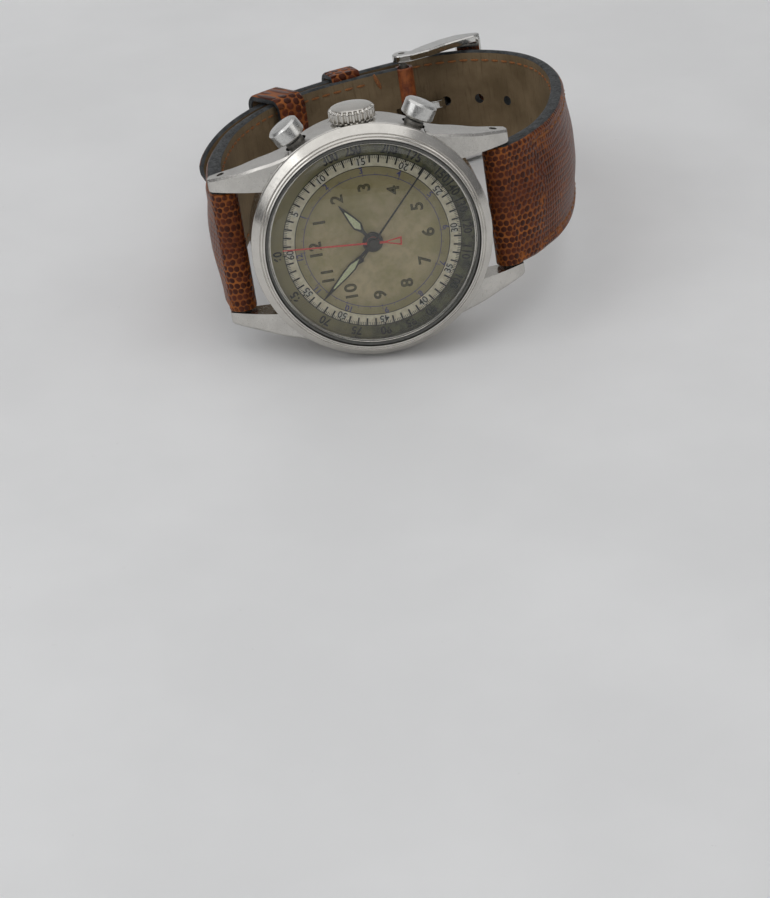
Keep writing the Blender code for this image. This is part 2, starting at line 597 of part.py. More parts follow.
def build_movement():
    nickel = (NICKEL, 0.4, 1.0)
    slot = [(8.3, -1.75), (10.7, -1.75), (10.7, 1.75), (8.3, 1.75)]
    rim = circle(MOVEMENT_R, 40)
    finish("mainplate", prism(rim, PLATE_BOTTOM, PLATE_TOP, (circle(1.25, 16), slot)), nickel)

    barrel = circle(MOVEMENT_R - 0.2, 30, (0, 0), math.radians(4), math.radians(184))
    barrel += [(-7.5, -0.98), (-1.6, -1.3), (1.6, -1.5), (8.0, -1.2), (8.0, 1.95), (11.0, 1.95)]
    holes = (circle(1.05, 20), circle(0.75, 16, BARREL_AT))
    bridge = finish("barrel_bridge", prism(barrel, BRIDGE_BOTTOM, BRIDGE_TOP, holes), nickel)
    add(bridge, rod(0.55, -6.7, -5.9), place3(CROWN_WHEEL_AT))
    add(bridge, rod(0.24, -6.75, -5.9, 12), place3(CLICK_AT))
    add(bridge, rod(1.3, -5.6, -2.7), (-9.6, 6.0, 0))
    add(bridge, rod(1.0, -5.6, -2.7), (9.2, 9.6, 0))
    cut(bridge, rod(1.5, -7, -4), (LEVER_AT[0] + 0.1, LEVER_AT[1] + 5.1, 0))

    train = circle(MOVEMENT_R - 0.2, 26, (0, 0), math.radians(190), math.radians(288))
    train += [(4.4, -10.6), (6.0, -9.3), (5.5, -7.0), (4.0, -5.0), (2.6, -2.3), (0.0, -1.9),
              (-3.5, -1.7)]
    holes = [circle(0.3, 12, spot) for spot in (THIRD_AT, FOURTH_AT, ESCAPE_AT)]
    bridge = finish("train_bridge", prism(train, BRIDGE_BOTTOM, BRIDGE_TOP, holes), nickel)
    add(bridge, rod(1.3, -5.6, -2.7), (-8.6, -7.0, 0))
    add(bridge, rod(1.0, -5.6, -2.7), (-0.8, -12.3, 0))

    arc = circle(MOVEMENT_R - 0.2, 12, (0, 0), math.radians(-62), math.radians(-14))
    cock = arc + [(9.4, -3.2), (8.2, -4.4), (6.9, -5.2), (6.9, -6.5), (8.2, -7.2)]
    plate = finish("balance_cock", prism(cock, BRIDGE_BOTTOM, -5.45), nickel)
    add(plate, prism(circle(MOVEMENT_R - 0.2, 8, (0, 0), math.radians(-24), math.radians(-15))
                     + [(12.2, -3.5), (11.7, -4.9)], -5.6, -2.75))
    cut(plate, rod(0.25, -7, -5, 12), place3(BALANCE_AT))

    bar = [(-9.8, -4.2), (-8.8, -2.6), (-1.0, 1.3), (1.1, 0.9), (1.2, -0.9), (-3.2, -6.2),
           (-3.6, -10.0), (-5.6, -10.0), (-6.0, -6.0)]
    bridge = finish("chronograph_bridge", prism(bar, -9.6, -9.1), nickel)
    add(bridge, rod(0.8, -9.2, -6.15), (-8.4, -4.0, 0))
    add(bridge, rod(0.8, -9.2, -6.15), (-4.6, -9.0, 0))

    ring = finish("movement_ring", tube(14.45, 15.1, -6.4, -1.0, 30), (BRASS, 0.45, 1.0))
    for angle in (0, PUSHER_ANGLE, -PUSHER_ANGLE):
        cut(ring, rod(1.6, 13, 17), (0, 0, STEM_Z), outward(angle))
    face = ((0.50, 0.47, 0.32), 0.5, 0.1)
    finish("dial", prism(circle(DIAL_R, 48), -DIAL_THICK, 0.0, (circle(1.15, 16),)), face)


LONG_ROUTE = ((-20.0, -6.3), (-23.6, -8.9), (-27.6, -13.7), (-30.6, -20.2), (-32.6, -27.6),
              (-33.8, -35.0), (-34.0, -42.5), (-33.1, -49.5), (-30.9, -55.4), (-27.6, -59.9),
              (-23.6, -63.0), (-18.6, -64.3), (-14.9, -64.3), (-10.4, -63.1), (-4.4, -61.2),
              (0.6, -59.1), (7.2, -55.7), (13.1, -52.3), (23.2, -47.3))
SHORT_ROUTE = ((20.0, -6.3), (20.9, -10.8), (21.1, -16.0), (20.7, -23.0), (19.5, -30.0),
               (17.7, -37.0), (15.0, -43.2), (11.8, -48.4), (8.0, -52.4), (4.1, -55.1),
               (0.0, -56.9), (-5.0, -58.4), (-9.0, -59.3), BUCKLE_BAR)
SECTION = ((-1.0, 0), (0, 0), (1.0, 0), (1.0, 1), (0.72, 2), (0, 3), (-0.72, 2), (-1.0, 1))


def strap_solid(route, per_span, width_at, edge_at, crown_at):
    """Sweep the strap's section along its route; the three functions take the distance run."""
    path = smooth_path(route, per_span)
    bm = bmesh.new()
    rings = []
    run = 0.0
    last = path[0][0]
    for place, slope in path:
        run += (place - last).length
        last = place
        # the wrist side lies to one side of the route and the leather side to the other
        wrist = Vector((-slope.y, slope.x))
        if route[1][0] > route[0][0]:
            wrist = -wrist
        half, edge, crown = width_at(run) / 2, edge_at(run) / 2, crown_at(run)
        offsets = (edge, -edge, -edge - 0.85 * crown, -edge - crown)
        ring = []
        for share, level in SECTION:
            spot = place + wrist * offsets[level]
            ring.append(bm.verts.new((share * half, spot.x, spot.y)))
        rings.append(ring)
    count = len(SECTION)
    for near, far in zip(rings, rings[1:]):
        for i in range(count):
            after = (i + 1) % count
            bm.faces.new((near[i], near[after], far[after], far[i]))
    bm.faces.new(rings[0])
    bm.faces.new(rings[-1])
    return bm, run


def blend(run, start, end, low, high):
    share = min(max((run - start) / (end - start), 0.0), 1.0)
    return low + (high - low) * share


def build_strap():
    look = (LEATHER, 0.55, 0.0)
    length = sum((b[0] - a[0]).length for a, b in zip(smooth_path(LONG_ROUTE, 2),
                                                      smooth_path(LONG_ROUTE, 2)[1:]))

    def long_width(run):
        if run > length - 16:
            return 15.6 * math.sqrt(max(1 - ((run - length + 16) / 16.15) ** 2, 0.0)) ** 1.1 + 0.2
        return blend(run, 15, 62, LUG_WIDTH, BUCKLE_WIDTH)

    bm, run = strap_solid(LONG_ROUTE, 2, long_width,
                          lambda run: blend(run, 0, 55, 2.6, 1.5),
                          lambda run: blend(run, 18, 60, 0.85, 0.1))
    strap = finish("strap_long", bm, look)
    add(strap, along_x(2.05, -LUG_WIDTH / 2, LUG_WIDTH / 2, 16), (0, -BAR_Y, BAR_Z))
    cut(strap, along_x(BAR_R + 0.25, -12, 12, 14), (0, -BAR_Y, BAR_Z))
    for spot in hole_spots():
        cut(strap, rod(HOLE_R, -3, 3, 6), (0, spot[0].x, spot[0].y), hole_turn(spot[1]))
    cut(strap, block(1.9, 4.2, 6.0), (0, -18.3, -64.3))

    bm, run = strap_solid(SHORT_ROUTE, 2, lambda run: blend(run, 15, 50, LUG_WIDTH, BUCKLE_WIDTH),
                          lambda run: blend(run, 0, 50, 2.6, 1.5),
                          lambda run: blend(run, 18, 55, 0.85, 0.1))
    strap = finish("strap_short", bm, look)
    add(strap, along_x(2.05, -LUG_WIDTH / 2, LUG_WIDTH / 2, 16), (0, BAR_Y, BAR_Z))
    cut(strap, along_x(BAR_R + 0.25, -12, 12, 14), (0, BAR_Y, BAR_Z))
    add(strap, along_x(1.55, -BUCKLE_WIDTH / 2, BUCKLE_WIDTH / 2, 14), (0, *BUCKLE_BAR))
    cut(strap, along_x(0.9, -12, 12), (0, *BUCKLE_BAR))
    cut(strap, block(2.8, 6.4, 6.0), (0, BUCKLE_BAR[0] - 1.0, BUCKLE_BAR[1] - 0.4))


def block(width, depth, height):
    bm = bmesh.new()
    bmesh.ops.create_cube(bm, size=1.0)
    bmesh.ops.scale(bm, vec=(width, depth, height), verts=bm.verts)
    return bm


def hole_spots():
    """Where the long strap's holes lie: every PITCH, with the third one at the tongue."""
    path = smooth_path(LONG_ROUTE, 12)
    tongue = min(range(len(path)), key=lambda i: (path[i][0] - Vector((-18.8, -64.2))).length)
    run = [0.0]
    for one, two in zip(path, path[1:]):
        run.append(run[-1] + (two[0] - one[0]).length)
    spots = []
    for number in range(-2, 5):
        target = run[tongue] + number * PITCH
        spots.append(min(zip(run, path), key=lambda pair: abs(pair[0] - target))[1])
    return spots


def hole_turn(slope):
    """Rotation that lays a rod along the strap's thickness."""
    return Vector((0, -slope.y, slope.x)).to_track_quat("Z", "X").to_euler()


def band(half_width, half_thick, wall, low, high):
    """A leather keeper: a rounded rectangular loop about local Z, which runs along the strap."""
    def corner_loop(x, y, r):
        points = []
        for cx, cy, start in ((x - r, y - r, 0), (r - x, y - r, 90), (r - x, r - y, 180),
                              (x - r, r - y, 270)):
            points += circle(r, 3, (cx, cy), math.radians(start), math.radians(start + 90))
        return points
    outer = corner_loop(half_width + wall, half_thick + wall, 1.0 + wall)
    return prism(outer, low, high, (corner_loop(half_width, half_thick, 1.0),))


def build_keepers():
    look = (LEATHER, 0.5, 0.0)
    for name, centre, heading, thick, half in (("fixed_keeper", (-2.1, -59.05), 19, 2.65, 2.5),
                                               ("free_keeper", (9.5, -52.85), 34, 3.35, 2.6)):
        tangent = Vector((0, math.cos(math.radians(heading)), math.sin(math.radians(heading))))
        normal = Vector((0, tangent.z, -tangent.y))
        axes = Matrix((Vector((1, 0, 0)), normal, tangent)).transposed()
        finish(name, band(8.3, thick, 1.15, -half, half), look, (0, *centre), axes.to_euler())


def sideways(outline, low, high):
    """A plate whose outline lies in the plane of Y and Z, between two places along X."""
    bm = prism(outline, low, high)
    bmesh.ops.transform(bm, matrix=Matrix(((0, 0, 1), (1, 0, 0), (0, 1, 0))).to_4x4(), verts=bm.verts)
    return bm


def ribbon(points, half):
    """Outline of an even strip that follows the points."""
    spots = [Vector(p) for p in points]
    sides = ([], [])
    for i, spot in enumerate(spots):
        slope = (spots[min(i + 1, len(spots) - 1)] - spots[max(i - 1, 0)]).normalized()
        for side, sign in zip(sides, (half, -half)):
            side.append((spot.x - slope.y * sign, spot.y + slope.x * sign))
    return sides[0] + sides[1][::-1]


def build_buckle():
    steel = (STEEL, 0.2, 1.0)
    y, z = BUCKLE_BAR
    at = (0, y, z)
    # one side arm seen along the bar, from its eye round to the front bar
    arm = circle(1.65, 9, (0, 0), math.radians(-150), math.radians(75))
    arm += [(-1.4, 1.75), (-4.4, 0.9), (-7.6, -1.3), (-10.6, -2.6), (-13.6, -3.5), (-14.25, -4.2),
            (-14.1, -5.0), (-9.7, -6.2), (-6.8, -5.4), (-3.4, -3.0)]
    frame = None
    for side in (1, -1):
        low, high = sorted((side * 8.75, side * 10.3))
        bm = sideways(arm, low, high)
        frame = add(frame, bm, at) if frame else finish("buckle_frame", bm, steel, at)
    front = [(-14.2, -4.1), (-14.1, -5.0), (-9.7, -6.2), (-9.45, -5.9), (-9.6, -4.95), (-13.9, -3.75)]
    add(frame, sideways(front, -9.5, 9.5), at)
    cut(frame, along_x(0.55, -13, 13, 12), at)
    finish("buckle_bar", turned([(0, -10.2), (0.45, -10.2), (0.45, -8.4), (0.7, -8.4), (0.7, 8.4),
                                 (0.45, 8.4), (0.45, 10.2), (0, 10.2)], 12), (STEEL, 0.35, 1.0), at,
           (0, math.pi / 2, 0))
    tongue = ribbon(((-0.6, -0.85), (-2.2, -2.3), (-3.6, -2.6), (-5.2, -2.9), (-7.2, -5.6),
                     (-8.6, -6.75), (-10.2, -7.1), (-11.5, -6.9)), 0.38)
    prong = finish("buckle_tongue", sideways(tongue, -0.65, 0.65), steel, at)
    add(prong, along_x(1.3, -0.65, 0.65, 14), at)
    cut(prong, along_x(0.8, -3, 3), at)


def build_spring_bars():
    for name, end in (("spring_bar_12", 1), ("spring_bar_6", -1)):
        profile = [(0, -11.2), (0.42, -11.2), (0.42, -9.0), (BAR_R, -9.0), (BAR_R, 9.0),
                   (0.42, 9.0), (0.42, 11.2), (0, 11.2)]
        finish(name, turned(profile, 12), (STEEL, 0.35, 1.0), (0, end * BAR_Y, BAR_Z),
               (0, math.pi / 2, 0))


def rest(stand):
    """Lean and roll the watch about its dial, then set it on the floor, centred over the origin."""
    up = Vector((1.0, -math.tan(ROLL), math.tan(LEAN))).normalized()
    front = Vector((0, 0, 1))
    back = (up * up.dot(front) - front).normalized()
    stand.rotation_euler = Matrix((back.cross(up), back, up)).to_euler()
    bpy.context.view_layer.update()
    corners = [piece.matrix_world @ vert.co for piece in bpy.data.objects if piece.type == "MESH"
               for vert in piece.data.vertices]
    for axis in range(3):
        low = min(corner[axis] for corner in corners)
        high = max(corner[axis] for corner in corners)
        stand.location[axis] = -low if axis == 2 else -(low + high) / 2
    bpy.context.view_layer.update()


clear_scene()
HEAD = empty("watch_frame")
build_case()
build_crown()
build_pushers()
build_train()
build_escapement()
build_motion_work()
build_hands()
build_chronograph()
build_winding()
build_movement()
build_strap()
build_keepers()
build_buckle()
build_spring_bars()
rest(HEAD)
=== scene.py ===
"""Looks for the wrist chronograph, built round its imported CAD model.

Shapes are made in the watch frame, in millimetres: X to 3 o'clock, Y to 12 o'clock and Z out of
the dial, with the origin at the dial's centre. The frame's own joints say where that is.
"""
import json
import math
from bisect import bisect_right

import bmesh
import bpy
from mathutils import Matrix, Vector


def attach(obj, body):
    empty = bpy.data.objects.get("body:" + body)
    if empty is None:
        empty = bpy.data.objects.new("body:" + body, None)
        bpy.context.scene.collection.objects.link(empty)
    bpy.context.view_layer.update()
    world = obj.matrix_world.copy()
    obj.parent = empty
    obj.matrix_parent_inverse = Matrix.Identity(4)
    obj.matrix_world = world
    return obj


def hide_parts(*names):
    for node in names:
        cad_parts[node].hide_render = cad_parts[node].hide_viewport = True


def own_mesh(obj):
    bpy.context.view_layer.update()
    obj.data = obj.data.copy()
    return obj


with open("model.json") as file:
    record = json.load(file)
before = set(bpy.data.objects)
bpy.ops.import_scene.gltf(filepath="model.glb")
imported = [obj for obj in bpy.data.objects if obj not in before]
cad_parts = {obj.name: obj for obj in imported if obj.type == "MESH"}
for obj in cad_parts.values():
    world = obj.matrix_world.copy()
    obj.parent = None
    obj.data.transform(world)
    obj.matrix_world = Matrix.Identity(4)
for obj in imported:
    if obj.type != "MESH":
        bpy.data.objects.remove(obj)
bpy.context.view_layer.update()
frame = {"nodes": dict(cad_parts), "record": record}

MM = 0.001
FINE = 160


def joint(name):
    return next(j for j in frame["record"]["behaviour"]["joints"] if j["name"] == name)


def watch_frame():
    """Matrix from the watch frame to the floor's, from the hands' and the crown's axes."""
    front = -Vector(joint("minute_hand_turn")["axis"])
    right = Vector(joint("crown_turn")["axis"])
    up = front.cross(right)
    turn = Matrix((right, up, front)).transposed().to_4x4()
    return Matrix.Translation(Vector(joint("minute_hand_turn")["pos_m"])) @ turn


WATCH = watch_frame()

# Case, as in the CAD model
CASE_R = 17.4
CASE_TOP = -0.7
CASE_BOTTOM = -6.8
BORE_R = 15.4
BEZEL_R = 17.5
BACK_FACE = -11.0
BACK_DISC_R = 15.7
FLANGE_R = 16.0
FLANGE_SIDES = 10
LUG_TIP = 22.0
BAR_Y = 20.0
BAR_Z = -6.3
BAR_R = 0.75
STEM_Z = -4.0
CROWN_R = 3.35
CROWN_BASE = 17.3
CROWN_RIM = 19.1
CROWN_TEETH = 24
PUSHER_ANGLE = math.radians(29.5)
PUSHER_R = 2.4
PUSHER_BASE = 18.5
PUSHER_FACE = 20.9
SPRING_FOOT = 18.0
DIAL_R = 15.1
LUG_WIDTH = 18.0
BUCKLE_WIDTH = 16.0
PITCH = 6.0
HOLE_R = 0.8
BUCKLE_BAR = (-12.2, -60.0)
TONGUE_HOLE = Vector((-18.8, -64.2))


# ---------------------------------------------------------------- node helpers

class Nodes:
    """Short way to write a material's node tree."""

    def __init__(self, name):
        self.made = bpy.data.materials.new(name)
        self.made.use_nodes = True
        self.tree = self.made.node_tree
        self.shader = self.tree.nodes["Principled BSDF"]

    def put(self, target, value):
        """Link or set an input; a colour may leave out its alpha."""
        if isinstance(value, bpy.types.NodeSocket):
            self.tree.links.new(value, target)
        elif target.type == "RGBA" and len(value) == 3:
            target.default_value = (*value, 1.0)
        else:
            target.default_value = value

    def node(self, kind, props=None, **inputs):
        made = self.tree.nodes.new("ShaderNode" + kind)
        for key, value in (props or {}).items():
            setattr(made, key, value)
        for key, value in inputs.items():
            place = int(key[1:]) if key[1:].isdigit() else key.replace("_", " ")
            self.put(made.inputs[place], value)
        return made

    def math(self, operation, a, b=0.0):
        return self.node("Math", {"operation": operation}, i0=a, i1=b).outputs[0]

    def add(self, a, b):
        return self.math("ADD", a, b)

    def times(self, a, b):
        return self.math("MULTIPLY", a, b)

    def vector(self, operation, a, b):
        return self.node("VectorMath", {"operation": operation}, i0=a, i1=b).outputs[0]

    def stretch(self, a, by):
        return self.vector("MULTIPLY", a, by)

    def parts(self, a):
        return self.node("SeparateXYZ", None, Vector=a).outputs

    def place(self):
        """The point of the piece in the millimetres it was drawn in."""
        return self.node("Attribute", {"attribute_name": "spot"}).outputs["Vector"]

    def lay(self):
        """Distance along the leather and across it, in centimetres."""
        return self.node("UVMap", {"uv_map": "lay"}).outputs[0]

    def floor_place(self):
        """The point in millimetres on the floor's own axes, for CAD pieces and the floor."""
        return self.stretch(self.node("TexCoord").outputs["Object"], (1000,) * 3)

    def noise(self, at, scale, detail=4.0, roughness=0.55, distortion=0.0):
        return self.node("TexNoise", None, Vector=at, Scale=scale, Detail=detail,
                         Roughness=roughness, Distortion=distortion).outputs["Fac"]

    def cells(self, at, scale, uneven, feature="F1"):
        return self.node("TexVoronoi", {"feature": feature, "voronoi_dimensions": "2D"},
                         Vector=at, Scale=scale, Randomness=uneven).outputs

    def band(self, value, low, high, out_low=0.0, out_high=1.0):
        props = {"interpolation_type": "SMOOTHSTEP"}
        return self.node("MapRange", props, i0=value, i1=low, i2=high, i3=out_low,
                         i4=out_high).outputs[0]

    def mix(self, share, a, b):
        return self.node("Mix", {"data_type": "RGBA"}, i0=share, i6=a, i7=b).outputs[2]

    def fade(self, value, a, b, low=0.3, high=0.7):
        """From colour a to colour b as value goes from low to high."""
        return self.mix(self.band(value, low, high), a, b)

    def bump(self, height, distance, strength=1.0):
        return self.node("Bump", None, Height=height, Distance=distance * MM,
                         Strength=strength).outputs[0]

    def finish(self, base, rough, normal=None, **inputs):
        inputs.update(Base_Color=base, Roughness=rough)
        if normal:
            inputs["Normal"] = normal
        for key, value in inputs.items():
            self.put(self.shader.inputs[key.replace("_", " ")], value)
        return self.made


def toned(color, by):
    return [c * by for c in color]


# ---------------------------------------------------------------- materials

def steel(name, tint, smooth, scratch, direction=(1.0, 1.0, 1.0), grain=0.0):
    """Worn steel: smooth is its roughness, scratch how marked it is, and grain how strongly it is
    brushed along the axis with the smallest direction value."""
    n = Nodes(name)
    at = n.place()
    cloud = n.noise(at, 0.35, 5)
    fine = n.noise(at, 2.6, 3)
    lines = n.noise(n.stretch(at, (0.5, 9.0, 3.0)), 1.3, 2, 0.5, 0.6)
    cross = n.noise(n.stretch(at, (8.0, 0.6, 5.0)), 1.1, 2, 0.5, 0.8)
    marks = n.math("MAXIMUM", n.band(lines, 0.69, 0.74), n.band(cross, 0.70, 0.75))
    brushed = n.noise(n.stretch(at, direction), 9.0, 3, 0.6)
    base = n.fade(cloud, toned(tint, 0.88), tint)
    base = n.mix(n.times(marks, 0.25 * scratch), base, (0.85, 0.84, 0.82))
    pits = n.band(n.noise(at, 1.7, 2), 0.75, 0.79)
    base = n.mix(n.times(pits, 0.45 * scratch), base, (0.20, 0.18, 0.15))
    rough = n.add(n.band(fine, 0.2, 0.8, smooth * 0.75, smooth * 1.35),
                  n.times(marks, 0.10 * scratch))
    rough = n.add(rough, n.times(n.band(brushed, 0.35, 0.65), 0.14 * grain))
    height = n.add(n.times(brushed, grain * 0.5), n.times(marks, -0.3 * scratch))
    height = n.add(height, n.times(n.noise(at, 0.45, 1), 0.5))
    return n.finish(base, rough, n.bump(height, 0.006), Metallic=1.0)


def radial_steel(name, tint):
    """Turned steel on a face across X, with fine rings round the pusher's own axis."""
    n = Nodes(name)
    at = n.place()
    rings = n.noise(n.stretch(at, (9.0, 2.0, 9.0)), 1.4, 4)
    fine = n.noise(at, 3.0, 3)
    base = n.fade(fine, toned(tint, 0.85), tint)
    rough = n.band(rings, 0.3, 0.7, 0.16, 0.36)
    return n.finish(base, rough, n.bump(rings, 0.004), Metallic=1.0)


def brushed_back():
    """The case back: a disc rubbed by years of wear, with scratches every way."""
    n = Nodes("back_steel")
    at = n.place()
    height = None
    for turn, stretch in ((0.4, 7.0), (1.3, 10.0), (2.3, 6.0), (2.9, 12.0)):
        spun = n.node("VectorRotate", {"rotation_type": "Z_AXIS"}, Vector=at,
                      Angle=turn).outputs[0]
        line = n.noise(n.stretch(spun, (0.25, stretch, 1.0)), 1.2, 3, 0.6, 0.3)
        line = n.band(line, 0.52, 0.68)
        height = line if height is None else n.add(height, line)
    cloud = n.noise(at, 0.25, 5)
    base = n.fade(cloud, (0.56, 0.55, 0.52), (0.63, 0.62, 0.585))
    rough = n.add(n.band(cloud, 0.3, 0.7, 0.27, 0.31), n.times(height, 0.05))
    return n.finish(base, rough, n.bump(height, 0.01, 0.8), Metallic=1.0)


def plated(name, tint, rough, grain):
    """Grained plate for the movement's pieces."""
    n = Nodes(name)
    at = n.floor_place()
    lay = n.noise(n.stretch(at, grain), 3.0, 3)
    base = n.fade(n.noise(at, 0.6, 4), toned(tint, 0.82), tint)
    return n.finish(base, n.band(lay, 0.3, 0.7, rough * 0.7, rough * 1.4), n.bump(lay, 0.01),
                    Metallic=1.0)


def rubber_like(name, tint):
    n = Nodes(name)
    at = n.floor_place()
    speck = n.noise(at, 4.0, 4)
    base = n.fade(speck, toned(tint, 0.6), tint)
    return n.finish(base, n.band(speck, 0.3, 0.7, 0.5, 0.75), n.bump(speck, 0.02))


def acrylic():
    """Clear domed crystal with hairline scratches that only roughen it."""
    n = Nodes("crystal_acrylic")
    at = n.place()
    hair = n.noise(n.stretch(at, (0.4, 7.0, 1.0)), 1.5, 2, 0.5, 1.0)
    marks = n.band(hair, 0.70, 0.74)
    return n.finish((0.99, 0.99, 0.97), n.band(marks, 0.0, 1.0, 0.0, 0.12), n.bump(marks, 0.002),
                    Transmission_Weight=1.0, IOR=1.49, Specular_IOR_Level=0.04)


def dial_lacquer():
    """Aged dial: cream-olive centre, white minute ring, dark outer ring, greyed at 6 o'clock."""
    n = Nodes("dial_lacquer")
    at = n.place()
    x, y, z = n.parts(at)
    reach = n.math("SQRT", n.add(n.times(x, x), n.times(y, y)))
    wobble = n.times(n.math("SUBTRACT", n.noise(at, 0.8, 4), 0.5), 0.25)
    soft = n.add(reach, wobble)
    cream, olive = (0.64, 0.54, 0.34), (0.47, 0.405, 0.215)
    centre = n.fade(n.noise(at, 0.14, 5, 0.65), olive, cream, 0.38, 0.60)
    # the centre is darker towards 3 o'clock and palest in the middle
    centre = n.mix(n.band(x, -4.0, 10.0, 0.0, 0.45), centre, (0.21, 0.18, 0.06))
    centre = n.mix(n.band(soft, 7.5, 11.0, 0.0, 0.5), centre, (0.24, 0.215, 0.10))
    mottle = n.band(n.noise(at, 0.75, 6, 0.75), 0.42, 0.62, 0.0, 0.24)
    centre = n.mix(mottle, centre, (0.22, 0.20, 0.085))
    specks = n.band(n.noise(at, 2.2, 5, 0.7), 0.62, 0.72)
    centre = n.mix(n.times(specks, 0.6), centre, (0.16, 0.13, 0.06))
    pale = n.fade(n.noise(at, 1.1, 4), (0.72, 0.66, 0.49), (0.92, 0.86, 0.69), 0.35, 0.7)
    pale = n.mix(n.band(x, -8.0, 12.0, 0.0, 0.25), pale, (0.42, 0.42, 0.33))
    green = n.fade(n.noise(at, 0.5, 5, 0.65), (0.034, 0.038, 0.018), (0.145, 0.140, 0.066), 0.35,
                   0.65)
    # the outer ring is palest at 12 o'clock and darkest from 4 to 7
    green = n.mix(n.band(y, -3.0, 13.0, 0.0, 0.75), green, (0.34, 0.295, 0.15))
    color = n.fade(soft, centre, pale, 11.15, 11.22)
    color = n.fade(soft, color, green, 12.78, 12.86)
    rub = n.band(n.noise(at, 6.0, 3), 0.3, 0.7)
    return n.finish(color, n.band(rub, 0.0, 1.0, 0.42, 0.6), n.bump(n.noise(at, 3.0, 4), 0.012),
                    Specular_IOR_Level=0.12)


def ink(name, tint, worn=0.35):
    """Printing that has gone thin in places."""
    n = Nodes(name)
    at = n.place()
    rub = n.band(n.noise(at, 4.0, 4, 0.6), 0.45, 0.7)
    base = n.mix(n.times(rub, worn), tint, (0.30, 0.29, 0.20))
    return n.finish(base, n.band(rub, 0.0, 1.0, 0.45, 0.65), Specular_IOR_Level=0.1)


def lume():
    n = Nodes("aged_lume")
    at = n.place()
    grit = n.noise(at, 7.0, 4, 0.7)
    base = n.fade(grit, (0.52, 0.56, 0.33), (0.86, 0.92, 0.62), 0.35, 0.65)
    return n.finish(base, 0.7, n.bump(grit, 0.04))


def hand_steel(name, tint, rough=0.3, metal=1.0):
    n = Nodes(name)
    at = n.place()
    grit = n.noise(at, 4.0, 4)
    base = n.fade(grit, tint, [min(1, c * 1.7 + 0.02) for c in tint], 0.35, 0.7)
    return n.finish(base, n.band(grit, 0.3, 0.7, rough * 0.8, rough * 1.4), n.bump(grit, 0.01),
                    Metallic=metal)


# ---------------------------------------------------------------- mesh helpers

def mesh_of(bm, name="part"):
    mesh = bpy.data.meshes.new(name)
    bm.to_mesh(mesh)
    bm.free()
    return mesh


def placed(name, data):
    made = bpy.data.objects.new(name, data)
    bpy.context.collection.objects.link(made)
    return made


def piece(name, bm, look, body="watch", nodes=(), place=None, smooth=30, bevel=0.0,
          even=True):
    """Make the mesh, given in millimetres of the watch frame, a piece that rides on a CAD body.
    even lets each large face keep its own flat shading between rounded edges."""
    bmesh.ops.recalc_face_normals(bm, faces=bm.faces)
    drawn = bm.verts.layers.float_vector.new("spot")
    for vert in bm.verts:
        vert[drawn] = vert.co
    bmesh.ops.scale(bm, vec=(MM, MM, MM), verts=bm.verts)
    bmesh.ops.transform(bm, matrix=WATCH @ (place or Matrix()), verts=bm.verts)
    mesh = mesh_of(bm, name)
    made = placed(name, mesh)
    mesh.materials.append(look)
    if bevel:
        soft = made.modifiers.new("edge", "BEVEL")
        soft.width = bevel * MM
        soft.segments = 4
        soft.limit_method = "ANGLE"
        soft.angle_limit = math.radians(28)
    mesh.shade_smooth()
    mesh.set_sharp_from_angle(angle=math.radians(smooth))
    if even:
        weighted = made.modifiers.new("even", "WEIGHTED_NORMAL")
        weighted.keep_sharp = True
    bpy.context.view_layer.update()
    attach(made, body)
    if nodes:
        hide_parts(*nodes)
    return made


def turned(profile, segments=FINE, shape=None):
    """Revolve a closed outline of (radius, height) about Z; shape(r, z, angle) may move the rim."""
    bm = bmesh.new()
    rings = []
    for r, z in profile:
        if r < 1e-6:
            rings.append([bm.verts.new((0, 0, z))])
            continue
        ring = []
        for step in range(segments):
            angle = 2 * math.pi * step / segments
            reach = shape(r, z, angle) if shape else r
            ring.append(bm.verts.new((reach * math.cos(angle), reach * math.sin(angle), z)))
        rings.append(ring)
    for low, high in zip(rings, rings[1:] + rings[:1]):
        if len(low) == 1 and len(high) == 1:
            continue
        for step in range(segments):
            after = (step + 1) % segments
            corners = [low[step % len(low)], low[after % len(low)], high[after % len(high)],
                       high[step % len(high)]]
            bm.faces.new(list(dict.fromkeys(corners)))
    return bm


def rounded(profile, soft, steps=4):
    """Round the corners of a closed outline of points by up to the given radius."""
    points = []
    count = len(profile)
    for i, spot in enumerate(profile):
        here = Vector(spot)
        before, after = Vector(profile[i - 1]), Vector(profile[(i + 1) % count])
        a, b = before - here, after - here
        if here.x < 1e-6 or a.length < 1e-6 or b.length < 1e-6:
            points.append(tuple(here))
            continue
        reach = min(soft, a.length * 0.45, b.length * 0.45)
        start, end = here + a.normalized() * reach, here + b.normalized() * reach
        for k in range(steps + 1):
            t = k / steps
            points.append(tuple(start * (1 - t) ** 2 + here * 2 * t * (1 - t) + end * t * t))
    return points


def prism(outline, low, high, holes=()):
    bm = bmesh.new()
    for loop in (outline, *holes):
        verts = [bm.verts.new((x, y, low)) for x, y in loop]
        for one, two in zip(verts, verts[1:] + verts[:1]):
            bm.edges.new((one, two))
    bmesh.ops.triangle_fill(bm, use_beauty=True, edges=list(bm.edges))
    raised = bmesh.ops.extrude_face_region(bm, geom=list(bm.faces))["geom"]
    lifted = [item for item in raised if isinstance(item, bmesh.types.BMVert)]
    bmesh.ops.translate(bm, vec=(0, 0, high - low), verts=lifted)
    return bm


def circle(r, count=48, centre=(0, 0), start=0.0, end=2 * math.pi):
    closed = abs(end - start - 2 * math.pi) < 1e-6
    steps = count if closed else count - 1
    return [(centre[0] + r * math.cos(start + (end - start) * i / steps),
             centre[1] + r * math.sin(start + (end - start) * i / steps)) for i in range(count)]


def spin(angle):
    return Matrix.Rotation(angle, 4, "Z")


